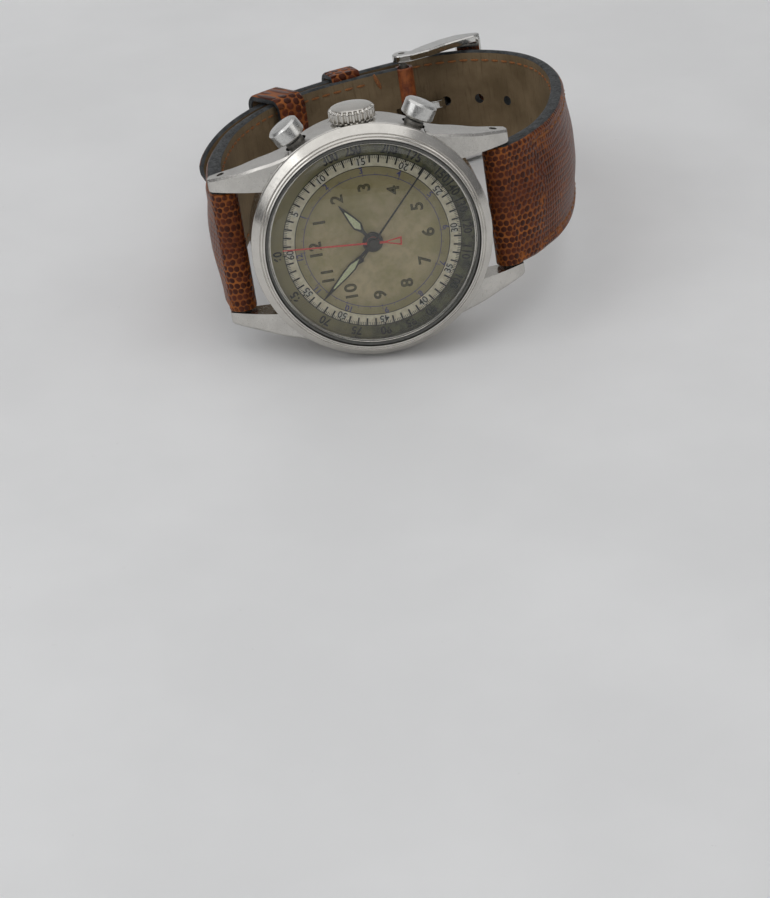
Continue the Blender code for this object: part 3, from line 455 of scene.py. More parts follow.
def outward(angle):
    """Matrix that sends local Z out of the case side at the given angle, on the stem's level."""
    way = Vector((math.cos(angle), math.sin(angle), 0))
    return (Matrix.Translation((0, 0, STEM_Z * MM))
            @ way.to_track_quat("Z", "Y").to_matrix().to_4x4())


def join(bm, other):
    """Put the other mesh's faces into bm as they are."""
    mesh = mesh_of(other)
    bm.from_mesh(mesh)
    bpy.data.meshes.remove(mesh)


def holder(bm):
    """Hold the mesh in an object of its own, for modifiers to work on."""
    bmesh.ops.recalc_face_normals(bm, faces=bm.faces)
    return placed("part", mesh_of(bm))


def released(*holders):
    """The first holder's mesh after its modifiers. All the holders are removed."""
    bpy.context.view_layer.update()
    seen = holders[0].evaluated_get(bpy.context.evaluated_depsgraph_get())
    result = bmesh.new()
    result.from_mesh(seen.to_mesh())
    seen.to_mesh_clear()
    for made in holders:
        mesh = made.data
        bpy.data.objects.remove(made)
        bpy.data.meshes.remove(mesh)
    return result


def boolean(bm, other, operation="DIFFERENCE", turn=None):
    """Cut the other mesh from bm, or join it."""
    body, tool = holder(bm), holder(other)
    if turn:
        tool.matrix_world = turn
    step = body.modifiers.new("cut", "BOOLEAN")
    step.operation = operation
    step.solver = "EXACT"
    step.object = tool
    result = released(body, tool)
    bmesh.ops.remove_doubles(result, verts=result.verts, dist=0.004)
    bmesh.ops.dissolve_degenerate(result, edges=result.edges, dist=0.002)
    return result


def fused(bm, *others):
    for other in others:
        bm = boolean(bm, other, "UNION")
    return bm


def worn(bm, grid, rounds):
    """Round every edge as years of rubbing do: rebuild the mesh on a fine grid and smooth it."""
    made = holder(bm)
    rebuilt = made.modifiers.new("grid", "REMESH")
    rebuilt.mode = "VOXEL"
    rebuilt.voxel_size = grid
    soft = made.modifiers.new("soft", "SMOOTH")
    soft.factor = 0.5
    soft.iterations = rounds
    return released(made)


def tube(bm, rings):
    """Join rings of vertices into a skin with closed ends."""
    for near, far in zip(rings, rings[1:]):
        for i in range(len(near)):
            after = (i + 1) % len(near)
            bm.faces.new((near[i], near[after], far[after], far[i]))
    bm.faces.new(rings[0])
    bm.faces.new(rings[-1])
    return bm


def box(x, y, z):
    bm = bmesh.new()
    bmesh.ops.create_cube(bm, size=1.0)
    bmesh.ops.scale(bm, vec=(x, y, z), verts=bm.verts)
    return bm


def mirrored(half):
    """The whole outline, from the half of it whose second coordinate is at or below zero."""
    return half + [(a, -b) for a, b in reversed(half) if b]


def rod(r, low, high, segments=48):
    return turned([(0, low), (r, low), (r, high), (0, high)], segments)


def laid(bm, y=0.0, z=0.0):
    """Lay a mesh that stands along Z down along X, on an axis at y and z."""
    bmesh.ops.rotate(bm, verts=bm.verts, matrix=Matrix.Rotation(math.pi / 2, 3, "Y"))
    bmesh.ops.translate(bm, vec=(0, y, z), verts=bm.verts)
    return bm


def along_x(r, low, high, y=0.0, z=0.0, segments=32):
    return laid(rod(r, low, high, segments), y, z)


# ---------------------------------------------------------------- case

POLISH = steel("polished_steel", (0.67, 0.645, 0.60), 0.17, 1.0)
SATIN = steel("satin_steel", (0.60, 0.58, 0.545), 0.20, 0.8, (0.4, 0.4, 6.0), 0.3)
DARK_STEEL = steel("dulled_steel", (0.22, 0.21, 0.19), 0.45, 1.0)


def lug(side, end):
    """One horn of the case: side is +1 at 3 o'clock, end is +1 at 12 o'clock."""
    # (distance along Y, inner X, outer X, top Z, bottom Z)
    stations = ((9.9, 9.4, 14.4, -0.75, -6.3), (11.2, 9.4, 13.9, -0.95, -6.35),
                (12.6, 9.4, 13.5, -1.2, -6.4), (14.0, 9.4, 13.2, -1.6, -6.5),
                (15.5, 9.4, 12.8, -2.1, -6.6), (16.8, 9.4, 12.4, -2.65, -6.75),
                (18.0, 9.4, 12.1, -3.3, -6.9), (19.2, 9.4, 11.85, -4.0, -7.15),
                (20.3, 9.4, 11.6, -4.7, -7.4), (LUG_TIP - 0.4, 9.4, 11.3, -5.6, -7.6),
                (LUG_TIP, 9.5, 11.1, -6.1, -7.3))
    bm = bmesh.new()
    rings = []
    soft = 0.35
    for y, inner, outer, top, low in stations:
        corners = ((inner, low), (outer, low), (outer, top - soft), (outer - soft, top),
                   (inner, top))
        rings.append([bm.verts.new((side * x, end * y, z)) for x, z in corners])
    return tube(bm, rings)


def build_case():
    outline = [(BORE_R, CASE_TOP), (CASE_R - 0.25, CASE_TOP), (CASE_R, CASE_TOP - 0.25),
               (CASE_R, CASE_BOTTOM + 0.2), (CASE_R - 0.2, CASE_BOTTOM), (BORE_R, CASE_BOTTOM)]
    case = turned(outline)
    for end in (1, -1):
        case = fused(case, lug(1, end), lug(-1, end))
        case = boolean(case, along_x(0.55, -13, 13, end * BAR_Y, BAR_Z, 24))
    for angle, r, low in ((0, CROWN_R + 0.35, CROWN_BASE - 0.3), (0, 1.25, 14),
                          (PUSHER_ANGLE, 1.75, 14), (-PUSHER_ANGLE, 1.75, 14)):
        turn = outward(angle)
        turn.translation = (0, 0, STEM_Z)
        case = boolean(case, rod(r, low, 20), turn=turn)
    piece("case_middle_shell", case, SATIN, nodes=("case_middle",), bevel=0.07, smooth=25)

    top = CASE_TOP + 0.3
    bezel = [(15.35, top), (BEZEL_R - 0.1, top), (BEZEL_R, top + 0.1), (BEZEL_R, 0.0),
             (BEZEL_R - 0.12, 0.16), (16.42, 1.24), (16.36, 1.16), (16.28, 1.16), (16.22, 1.34),
             (16.02, 1.52), (15.96, 1.45), (15.9, 1.45), (15.84, 1.66), (15.7, 1.8),
             (15.62, 1.8), (15.55, 1.5), (15.5, 1.0), (14.85, 1.0), (14.85, 0.3), (15.35, 0.3)]
    piece("bezel_ring", turned(rounded(bezel, 0.07, 3), 192), POLISH, nodes=("bezel",))

    dome = [(0, 2.75), (2, 2.735), (4, 2.69), (6, 2.61), (8, 2.5), (10, 2.34), (12, 2.14),
            (13.6, 1.92), (14.5, 1.72), (14.85, 1.6), (15.0, 1.5), (15.0, 1.15), (14.5, 1.15),
            (13.6, 1.28), (12, 1.45), (10, 1.62), (8, 1.77), (6, 1.88), (4, 1.96), (2, 2.01),
            (0, 2.02)]
    piece("crystal_dome", turned(dome), acrylic(), nodes=("crystal",), smooth=50)
    seal = rounded([(15.12, 1.08), (15.46, 1.08), (15.46, 1.62), (15.12, 1.66)], 0.06)
    piece("crystal_seal", turned(seal, 128), rubber_like("seal_gum", (0.12, 0.12, 0.11)),
          nodes=("crystal_gasket",))
    # stepped metal ring that holds the dial, seen under the edge of the crystal
    rehaut = [(14.55, 0.02), (15.0, 0.02), (15.0, 0.28), (14.82, 0.98), (14.66, 0.98)]
    piece("dial_ring", turned(rounded(rehaut, 0.04)), POLISH)

    back_top = CASE_BOTTOM - 0.3
    cup = [(0, BACK_FACE), (BACK_DISC_R - 0.2, BACK_FACE), (BACK_DISC_R, BACK_FACE + 0.15),
           (BACK_DISC_R, BACK_FACE + 0.7), (17.0, -8.1), (17.0, back_top), (14.3, back_top),
           (14.3, -9.9), (0, -9.9)]
    corner = FLANGE_R / math.cos(math.pi / FLANGE_SIDES)
    flange = turned([(14.6, -8.0), (corner, -8.0), (corner, -10.25), (14.6, -10.25)], FLANGE_SIDES)
    back = fused(turned(rounded(cup, 0.1, 3)), flange)
    piece("case_back_shell", back, brushed_back(), nodes=("case_back",), bevel=0.08, smooth=25)


def build_crown():
    """The fluted crown, its dished cap and the shaft behind it."""
    def flutes(r, z, angle):
        if r < CROWN_R - 0.32 or z < CROWN_BASE + 0.05:
            return r
        wave = math.cos(angle * CROWN_TEETH)
        return r - 0.2 + 0.2 * math.copysign(abs(wave) ** 0.35, wave)
    rise = CROWN_RIM - CROWN_BASE
    profile = [(0, CROWN_BASE + 0.9), (1.8, CROWN_BASE + 0.9), (1.8, CROWN_BASE),
               (CROWN_R - 0.25, CROWN_BASE), (CROWN_R - 0.02, CROWN_BASE + 0.12)]
    profile += [(CROWN_R, CROWN_BASE + 0.2 + (rise - 0.5) * k / 6) for k in range(7)]
    profile += [(CROWN_R - 0.1, CROWN_RIM - 0.16), (CROWN_R - 0.3, CROWN_RIM - 0.03)]
    profile += [((CROWN_R - 0.36) * math.cos(t), CROWN_RIM + 0.38 * math.sin(t))
                for t in (0.15 + 1.4 * k / 9 for k in range(10))]
    profile.append((0, CROWN_RIM + 0.39))
    bm = turned(profile, CROWN_TEETH * 12, flutes)
    join(bm, rod(0.5, 15.6, CROWN_BASE + 0.92, 24))
    piece("crown_knob", bm, POLISH, "crown_and_stem", ("crown",), outward(0), smooth=40)


def coil(r, wire, low, high, turns):
    """A wound spring about Z."""
    bm = bmesh.new()
    steps = turns * 24
    rings = []
    for i in range(steps + 1):
        angle = 2 * math.pi * i / 24
        middle = low + wire + (high - low - 2 * wire) * i / steps
        section = circle(wire, 8, (r, middle))
        rings.append([bm.verts.new((x * math.cos(angle), x * math.sin(angle), z))
                      for x, z in section])
    return tube(bm, rings)


def build_pushers():
    wound = plated("spring_steel", (0.50, 0.49, 0.46), 0.3, (4.0, 4.0, 4.0))
    turned_face = radial_steel("turned_steel", (0.68, 0.675, 0.655))
    for name, angle in (("start", PUSHER_ANGLE), ("reset", -PUSHER_ANGLE)):
        head = [(0, 14.9), (0.7, 14.9), (0.7, PUSHER_BASE + 0.6), (1.6, PUSHER_BASE + 0.6),
                (1.6, PUSHER_BASE), (PUSHER_R - 0.12, PUSHER_BASE), (PUSHER_R, PUSHER_BASE + 0.15),
                (PUSHER_R, PUSHER_FACE - 0.45), (PUSHER_R - 0.36, PUSHER_FACE - 0.12),
                (0.25, PUSHER_FACE - 0.01), (0, PUSHER_FACE - 0.02)]
        piece("pusher_head_" + name, turned(rounded(head, 0.06, 3), 96), turned_face,
              "pusher_%s_body" % name, ("pusher_" + name,), outward(angle))
        # the spring between sleeve and head
        spring = piece("pusher_coil_" + name, coil(1.15, 0.11, SPRING_FOOT, 18.95, 3), wound,
                       nodes=("pusher_spring_" + name,), place=outward(angle), even=False)
        way = WATCH.to_3x3() @ outward(angle).to_3x3() @ Vector((0, 0, 1))
        foot = WATCH @ outward(angle) @ (Vector((0, 0, SPRING_FOOT)) * MM)
        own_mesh(spring)
        sleeve = rounded([(0.8, 14.6), (1.4, 14.6), (1.4, 17.9), (0.8, 17.9)], 0.08)
        piece("pusher_sleeve_" + name, turned(sleeve, 64), DARK_STEEL,
              nodes=("pusher_tube_" + name,), place=outward(angle))


# ---------------------------------------------------------------- dial and hands

# Where the hands stand, turned from 3 o'clock
HOUR_ANGLE = math.radians(90 - 56.5)
MINUTE_ANGLE = math.radians(90 - 318)
SECOND_ANGLE = math.radians(90 - 131.8)
COUNTER_ANGLE = math.radians(90 - 4.8)

INK = ink("black_print", (0.008, 0.008, 0.006), 0.1)
BLUE_INK = ink("blue_print", (0.07, 0.07, 0.22))
OLIVE_INK = ink("numeral_print", (0.030, 0.026, 0.012), 0.12)
NUMERAL_FILL = ink("numeral_fill", (0.13, 0.115, 0.055), 0.2)
PRINT_LEVEL = 0.012
MINUTES_R = 11.92


def ticks(bm, spots, inner, outer, width):
    """Thin printed lines, each at an angle in degrees clockwise from 12 o'clock."""
    for spot in spots:
        angle = math.radians(90 - spot)
        along = Vector((math.cos(angle), math.sin(angle), 0))
        aside = Vector((-along.y, along.x, 0)) * width / 2
        corners = [along * inner - aside, along * outer - aside, along * outer + aside,
                   along * inner + aside]
        bm.faces.new([bm.verts.new((c.x, c.y, PRINT_LEVEL)) for c in corners])


def ring_line(bm, r, width):
    near, far = ([bm.verts.new((*spot, PRINT_LEVEL)) for spot in circle(reach, 180)]
                 for reach in (r - width / 2, r + width / 2))
    for i in range(180):
        after = (i + 1) % 180
        bm.faces.new((near[i], near[after], far[after], far[i]))


def number(bm, text, r, spot, size, weight, level=PRINT_LEVEL, lean=None, wide=1.0):
    """Lay a number on the dial at radius r; spot is in degrees clockwise from 12 o'clock. lean is
    its turn from the way 12 stands; where it is left out, the foot points to the centre."""
    words = bpy.data.curves.new("number", "FONT")
    words.body = str(text)
    words.size = size
    words.align_x = words.align_y = "CENTER"
    words.offset = weight
    made = placed("number", words)
    bpy.context.view_layer.update()
    seen = made.evaluated_get(bpy.context.evaluated_depsgraph_get())
    mesh = bpy.data.meshes.new_from_object(seen)
    bpy.data.objects.remove(made)
    bpy.data.curves.remove(words)
    lean = -spot if lean is None else lean
    angle = math.radians(90 - spot)
    mesh.transform(Matrix.Translation((r * math.cos(angle), r * math.sin(angle), level))
                   @ spin(math.radians(lean)) @ Matrix.Diagonal((wide, 1, 1, 1)))
    bm.from_mesh(mesh)
    bpy.data.meshes.remove(mesh)


def printing(name, bm, look):
    """Make flat printing, given a little thickness downwards, a piece of the dial."""
    bmesh.ops.triangulate(bm, faces=bm.faces)
    faces = list(bm.faces)
    for face in faces:
        if face.normal.z < 0:
            face.normal_flip()
    raised = bmesh.ops.extrude_face_region(bm, geom=faces)["geom"]
    lifted = [item for item in raised if isinstance(item, bmesh.types.BMVert)]
    bmesh.ops.translate(bm, vec=(0, 0, 0.008), verts=lifted)
    return piece(name, bm, look, even=False)


def build_dial():
    plate = prism(circle(DIAL_R - 0.02, 160), -0.4, 0.0, (circle(1.15, 40),))
    piece("dial_plate", plate, dial_lacquer(), nodes=("dial",))

    black = bmesh.new()
    ticks(black, [k * 6 for k in range(60) if k % 5], 11.75, 12.82, 0.24)
    ticks(black, range(0, 360, 30), 12.5, 12.82, 0.24)
    ticks(black, [k * 1.2 for k in range(300) if k % 5], 12.36, 12.82, 0.08)
    for r in (11.18, 12.86):
        ring_line(black, r, 0.11)
    for count in range(5, 65, 5):
        spot = count * 6
        lean = (180 if 90 < spot < 270 else 0) - spot
        number(black, count, MINUTES_R, spot, 1.42, 0.012, PRINT_LEVEL * 2.2, lean)
    # speed scale: 60 at a minute, higher numbers for shorter times
    for speed in (60, 65, 70, 75, 80, 85, 90, 100, 110, 120, 130, 140, 150, 175, 200, 250, 300):
        spot = 3600 / speed * 6 % 360
        number(black, speed, 13.68, spot, 1.6, 0.045)
        ticks(black, [spot], 14.42, 14.75, 0.12)
    ticks(black, [3600 / speed * 6 for speed in range(60, 150, 5)], 12.9, 13.15, 0.07)
    printing("minute_print", black, INK)
    pads = bmesh.new()
    for count in range(5, 65, 5):
        pad = prism(circle(0.66 if count > 9 else 0.45, 24), PRINT_LEVEL, PRINT_LEVEL * 1.6)
        bmesh.ops.scale(pad, verts=pad.verts, vec=(1.15, 0.75, 1))
        bmesh.ops.translate(pad, verts=pad.verts, vec=(0, MINUTES_R, 0))
        bmesh.ops.transform(pad, verts=pad.verts, matrix=spin(math.radians(-count * 6)))
        join(pads, pad)
    piece("minute_pads", pads, ink("pad_print", (0.66, 0.64, 0.56), 0.1))

    blue = bmesh.new()
    ring_line(blue, 9.95, 0.09)
    ticks(blue, range(0, 360, 10), 9.95, 10.3, 0.06)
    ticks(blue, range(0, 360, 30), 9.7, 10.6, 0.07)
    # sound-distance scale: one number for about each five seconds
    for count in range(1, 13):
        number(blue, count, 10.66, count * 29.7, 1.2, 0.02)
    printing("distance_print", blue, BLUE_INK)

    for name, weight, level, look in (("hour_outline", 0.06, PRINT_LEVEL, OLIVE_INK),
                                      ("hour_fill", -0.03, PRINT_LEVEL * 2.4, NUMERAL_FILL)):
        numerals = bmesh.new()
        for hour in range(1, 13):
            number(numerals, hour, 8.2, hour * 30, 2.45, weight, level, 0, 1.08)
        printing(name, numerals, look)


def leaf(name, body, node, outline, slot_outline, low, high, hub, bore, angle, look, filling):
    """A leaf hand: a rim of metal round a strip of luminous filling."""
    bm = fused(prism(outline, low, high, (slot_outline,)), prism(circle(hub), low, high))
    bm = boolean(bm, rod(bore, low - 1, high + 1))
    piece(name, bm, look, body, (node,), spin(angle), bevel=0.02)
    inside = prism(slot_outline, low + 0.02, high - 0.015)
    piece(name + "_lume", inside, filling, body, place=spin(angle))


def build_hands():
    dark = hand_steel("hand_dark", (0.012, 0.011, 0.009), 0.4, 0.3)
    hub_look = hand_steel("hub_dark", (0.035, 0.032, 0.027), 0.42, 0.6)
    glow = lume()
    leaf("hour_leaf", "hour_body", "hour_hand",
         mirrored([(1.2, -0.2), (2.2, -0.25), (3.3, -0.72), (4.5, -0.6), (7.4, -0.05)]),
         mirrored([(2.55, 0.0), (3.35, -0.52), (4.4, -0.42), (6.1, -0.07)]),
         0.25, 0.37, 1.5, 1.05, HOUR_ANGLE, dark, glow)
    leaf("minute_leaf", "minute_body", "minute_hand",
         mirrored([(0.9, -0.18), (2.6, -0.22), (4.6, -0.62), (6.2, -0.55), (11.2, -0.05)]),
         mirrored([(3.1, 0.0), (4.65, -0.43), (6.1, -0.38), (8.9, -0.08)]),
         0.48, 0.59, 1.25, 0.68, MINUTE_ANGLE, dark, glow)

    red = hand_steel("counter_red", (0.62, 0.045, 0.03), 0.35, 0.0)
    low, high = 0.72, 0.82
    tail = mirrored([(-0.55, -0.16), (-1.9, -0.16), (-4.0, -0.62), (-4.15, -0.62)])
    window = mirrored([(-3.9, -0.4), (-2.2, -0.08)])
    needle = mirrored([(0.6, -0.14), (13.0, -0.09)])
    bm = fused(prism(tail, low, high, (window,)), prism(circle(0.93), low, high),
               prism(needle, low, high))
    bm = boolean(bm, rod(0.41, low - 1, high + 1))
    piece("counter_needle", bm, red, "chrono_minutes_body", ("chrono_minute_hand",),
          spin(COUNTER_ANGLE), bevel=0.015)

    low, high = 0.94, 1.03
    sweep = mirrored([(0.4, -0.14), (13.4, -0.1)])
    arrow = mirrored([(-3.7, 0.0), (-3.0, -0.34), (-2.6, -0.08), (-0.4, -0.1)])
    bm = fused(prism(sweep, low, high), prism(circle(0.69), low, high), prism(arrow, low, high))
    piece("sweep_needle", bm, dark, "chrono_seconds_body", ("chrono_second_hand",),
          spin(SECOND_ANGLE), bevel=0.012)
    # stepped bosses of the four hands, one above the other
    for name, body, bore, r, low, high in (
            ("hour_boss", "hour_body", 1.06, 1.48, 0.36, 0.46),
            ("minute_boss", "minute_body", 0.7, 1.22, 0.58, 0.70),
            ("counter_boss", "chrono_minutes_body", 0.43, 0.92, 0.80, 0.92),
            ("sweep_boss", "chrono_seconds_body", 0.0, 0.68, 1.02, 1.34)):
        cap = [(bore, low), (r, low), (r, high - 0.05), (r - 0.06, high), (bore, high)]
        piece(name, turned(cap, 64), hub_look, body)


# ---------------------------------------------------------------- strap

LONG_ROUTE = ((-20.0, -6.3), (-23.6, -8.9), (-27.6, -13.7), (-30.6, -20.2), (-32.6, -27.6),
              (-33.8, -35.0), (-34.0, -42.5), (-33.1, -49.5), (-30.9, -55.4), (-27.6, -59.9),
              (-23.6, -63.0), (-18.6, -64.3), (-14.9, -64.3), (-10.4, -63.1), (-4.4, -61.2),
              (0.6, -59.1), (7.2, -55.7), (13.1, -52.3), (23.2, -47.3))
SHORT_ROUTE = ((20.0, -6.3), (20.9, -10.8), (21.1, -16.0), (20.7, -23.0), (19.5, -30.0),
               (17.7, -37.0), (15.0, -43.2), (11.8, -48.4), (8.0, -52.4), (4.1, -55.1),
               (0.0, -56.9), (-5.0, -58.4), (-9.0, -59.3), BUCKLE_BAR)


def smooth_path(points, per_span):
    """A Catmull-Rom curve through the points, as (place, tangent) pairs in the plane of Y and Z."""
    spots = [Vector(p) for p in points]
    spots = [2 * spots[0] - spots[1]] + spots + [2 * spots[-1] - spots[-2]]
    path = []
    for i in range(1, len(spots) - 2):
        p0, p1, p2, p3 = spots[i - 1:i + 3]
        last = 1 if i == len(spots) - 3 else 0
        for k in range(per_span + last):
            t = k / per_span
            place = 0.5 * (2 * p1 + (p2 - p0) * t + (2 * p0 - 5 * p1 + 4 * p2 - p3) * t ** 2
                           + (3 * p1 - p0 - 3 * p2 + p3) * t ** 3)
            slope = 0.5 * ((p2 - p0) + 2 * (2 * p0 - 5 * p1 + 4 * p2 - p3) * t
                           + 3 * (3 * p1 - p0 - 3 * p2 + p3) * t ** 2)
            path.append((place, slope.normalized()))
    return path


def ramp(run, start, end, low, high):
    share = min(max((run - start) / (end - start), 0.0), 1.0)
    return low + (high - low) * share


SEAM_INSET = 1.35
STITCH_SHARE = 0.72
TIP_LENGTH = 16


class Strap:
    """One half of the strap: its route, and its width and thickness along it."""

    def __init__(self, route, crown_end, tip):
        self.path = smooth_path(route, 14)
        self.left = route[1][0] > route[0][0]
        self.crown_end = crown_end
        self.tip = tip
        self.runs = [0.0]
        for one, two in zip(self.path, self.path[1:]):
            self.runs.append(self.runs[-1] + (two[0] - one[0]).length)
        self.length = self.runs[-1]
        self.flat = 62 if tip else 50
        self.thin = 55 if tip else 50

    def at(self, run):
        """Place, tangent and wrist-side normal at a distance run, in the plane of Y and Z."""
        run = min(max(run, 0.0), self.length)
        i = min(bisect_right(self.runs, run), len(self.runs) - 1) - 1
        share = (run - self.runs[i]) / max(self.runs[i + 1] - self.runs[i], 1e-9)
        place = self.path[i][0].lerp(self.path[i + 1][0], share)
        slope = self.path[i][1].lerp(self.path[i + 1][1], share).normalized()
        wrist = Vector((-slope.y, slope.x))
        return place, slope, -wrist if self.left else wrist

    def half(self, run):
        if self.tip and run > self.length - TIP_LENGTH:
            rounding = max(1 - ((run - self.length + TIP_LENGTH) / 16.1) ** 2, 0.0)
            return (15.6 * rounding ** 0.55 + 0.2) / 2
        return ramp(run, 15, self.flat, LUG_WIDTH, BUCKLE_WIDTH) / 2

    def edge(self, run):
        return ramp(run, 0, self.thin, 2.6, 1.5) / 2

    def crown(self, run):
        if run < 18:
            return ramp(run, 0, 4, 0.72, 0.85)
        return ramp(run, 18, self.crown_end, 0.85, 0.1)

    def point(self, run, across, depth):
        """A point across the strap, at a depth towards the wrist from its middle."""
        place, slope, wrist = self.at(run)
        return Vector((across, *(place + wrist * depth)))

    def top(self, run, share):
        """Depth of the outer leather at a share of the half width: padded in the middle."""
        edge, crown = self.edge(run), self.crown(run)
        s = min(abs(share), 1.0)
        pad = 0.5 + 0.5 * math.cos(math.pi * min(max((s - 0.12) / 0.76, 0.0), 1.0))
        pad = 1 - (1 - pad) * ramp(run, 0.5, 8, 0, 1)
        roll = max((s - 0.93) / 0.07, 0.0) ** 2 * min(0.35, edge * 0.5)
        off_seam = (s * self.half(run) - (self.half(run) - SEAM_INSET)) / 0.32
        channel = 0.13 * math.exp(-off_seam ** 2) if 5 < run < self.length - 3 else 0.0
        return -(edge + crown * pad) + roll + channel


def sweep_leather(bm, uv, rings, kinds):
    """Join rings of (vertex, u, v) corners; kinds is the material of each strip between them."""
    for near, far in zip(rings, rings[1:]):
        for i, kind in enumerate(kinds):
            after = (i + 1) % len(kinds)
            corners = (near[i], near[after], far[after], far[i])
            face = bm.faces.new([corner[0] for corner in corners])
            face.material_index = kind
            for loop, corner in zip(face.loops, corners):
                loop[uv].uv = corner[1:]


def strap_mesh(strap, steps, columns=64):
    """Outer leather, painted edges and lining of one strap half, as a closed sweep with UVs: U is
    the distance run and V the distance across, in centimetres."""
    bm = bmesh.new()
    uv = bm.loops.layers.uv.new("lay")
    bulge = 0.12
    rings = []
    for k in range(steps + 1):
        run = strap.length * k / steps
        half, edge = strap.half(run), strap.edge(run)
        shares = [-1 + 2 * c / columns for c in range(columns + 1)]
        ring = [(share * half, strap.top(run, share)) for share in shares]
        # rounded, painted edge on each side and a flat lining between them
        ring += [(half + bulge, -edge * 0.35), (half + bulge, edge * 0.45), (half - 0.1, edge)]
        ring += [(half * (1 - c / 4) * 0.985, edge) for c in range(1, 8)]
        ring += [(-half + 0.1, edge), (-half - bulge, edge * 0.45), (-half - bulge, -edge * 0.35)]
        rings.append([(bm.verts.new(strap.point(run, a, d)), run / 10, a / 10) for a, d in ring])
    sweep_leather(bm, uv, rings, [0] * columns + [1] * 3 + [2] * 8 + [1] * 3)
    for ring in (rings[0], rings[-1]):
        bm.faces.new([corner[0] for corner in ring]).material_index = 1
    return bm


def lizard(name, size, bright=1.0, depth=0.09):
    """Lizard skin: small round scales by the case, then scales in straight rows along the strap,
    each dark and glossy with a tan line round it. U and V are the run and the way across, in cm."""
    n = Nodes(name)
    uv = n.lay()
    u, v, w = n.parts(uv)
    drift = n.node("TexNoise", None, Vector=uv, Scale=1.6, Detail=2.0).outputs["Color"]
    drift = n.stretch(n.vector("SUBTRACT", drift, (0.5, 0.5, 0.5)), (0.14, 0.14, 0.0))
    warped = n.vector("ADD", uv, drift)
    share = n.band(n.add(u, n.times(n.noise(uv, 1.5, 2), 0.5)), 0.75, 1.1)
    # round scales, every other row moved on by half a scale
    across, along, level = n.parts(n.stretch(warped, (size, size, 1)))
    shift = n.times(n.math("FLOORED_MODULO", n.math("FLOOR", along), 2.0), 0.5)
    bricks = n.node("CombineXYZ", None, X=n.add(across, shift), Y=n.add(along, 0.6)).outputs[0]
    dots = n.cells(bricks, 1.0, 0.22)
    # squarer scales in straight rows
    rows_at = n.stretch(warped, (size * 1.3, size * 1.05, 1))
    gap = n.cells(rows_at, 1.0, 0.2, "DISTANCE_TO_EDGE")
    square = n.cells(rows_at, 1.0, 0.2)
    edge = n.node("Mix", {"data_type": "FLOAT"}, i0=share, i3=gap["Distance"],
                  i2=n.math("SUBTRACT", 0.52, dots["Distance"])).outputs[0]
    tone = n.mix(share, dots["Color"], square["Color"])
    tone = n.node("SeparateColor", None, Color=tone).outputs[0]
    cloud = n.noise(uv, 1.1, 5, 0.6)
    fade = n.band(cloud, 0.35, 0.65)
    # rows fade in and out along the strap
    rows = n.band(n.noise(n.stretch(uv, (0.5, 3.0, 1)), 2.0, 3), 0.35, 0.6)
    dark = n.mix(tone, toned((0.040, 0.0095, 0.0045), bright),
                 toned((0.105, 0.024, 0.0085), bright))
    tan = n.mix(fade, toned((0.165, 0.045, 0.012), bright), toned((0.34, 0.108, 0.024), bright))
    tan = n.mix(n.times(rows, 0.45), tan, toned((0.15, 0.042, 0.016), bright))
    scale = n.band(edge, 0.015, 0.11)
    base = n.mix(scale, tan, dark)
    # rubbed pale here and there, and most along the sewn edges
    rim = n.band(n.math("ABSOLUTE", v), 0.62, 0.76, 0.0, 0.09)
    worn = n.band(n.add(n.noise(uv, 2.4, 6, 0.7), rim), 0.57, 0.70)
    base = n.mix(n.times(worn, 0.6), base, (0.38, 0.115, 0.018))
    rough = n.add(n.band(scale, 0.0, 1.0, 0.50, 0.30), n.times(worn, 0.15))
    crease = n.noise(n.stretch(uv, (3.0, 1.2, 1)), 9.0, 4, 0.65)
    height = n.add(n.band(edge, 0.0, 0.34), n.times(crease, 0.22))
    return n.finish(base, rough, n.bump(height, depth), Coat_Weight=0.05, Coat_Roughness=0.25,
                    Specular_IOR_Level=0.13)


def edge_paint():
    n = Nodes("edge_paint")
    at = n.place()
    chips = n.band(n.noise(at, 2.2, 5, 0.7), 0.64, 0.72)
    base = n.fade(n.noise(at, 0.8, 4), (0.012, 0.013, 0.014), (0.050, 0.054, 0.056))
    base = n.mix(n.times(chips, 0.6), base, (0.14, 0.08, 0.05))
    return n.finish(base, n.band(n.noise(at, 3.0, 3), 0.3, 0.7, 0.45, 0.7),
                    n.bump(n.noise(at, 3.5, 5), 0.05), Specular_IOR_Level=0.3)


def lining():
    """Taupe lining leather: fine pores, creases across it and darker where it has been rubbed."""
    n = Nodes("lining_leather")
    uv = n.lay()
    pores = n.cells(uv, 38.0, 1.0)["Distance"]
    lines = n.noise(n.stretch(uv, (9.0, 1.0, 1)), 2.4, 4, 0.6)
    cloud = n.noise(uv, 1.1, 5, 0.6)
    base = n.fade(cloud, (0.120, 0.084, 0.044), (0.215, 0.155, 0.090))
    base = n.mix(n.times(n.band(lines, 0.52, 0.7), 0.45), base, (0.075, 0.050, 0.026))
    height = n.add(n.times(pores, 0.5), lines)
    return n.finish(base, n.band(cloud, 0.3, 0.7, 0.55, 0.78), n.bump(height, 0.05),
                    Specular_IOR_Level=0.2)


def thread():
    n = Nodes("waxed_thread")
    at = n.place()
    twist = n.node("TexWave", {"wave_type": "BANDS", "bands_direction": "DIAGONAL"}, Vector=at,
                   Scale=5.0, Distortion=0.4).outputs["Fac"]
    fuzz = n.noise(at, 5.0, 4)
    base = n.fade(fuzz, (0.22, 0.072, 0.017), (0.42, 0.16, 0.038))
    return n.finish(base, n.band(fuzz, 0.0, 1.0, 0.5, 0.75), n.bump(twist, 0.05))


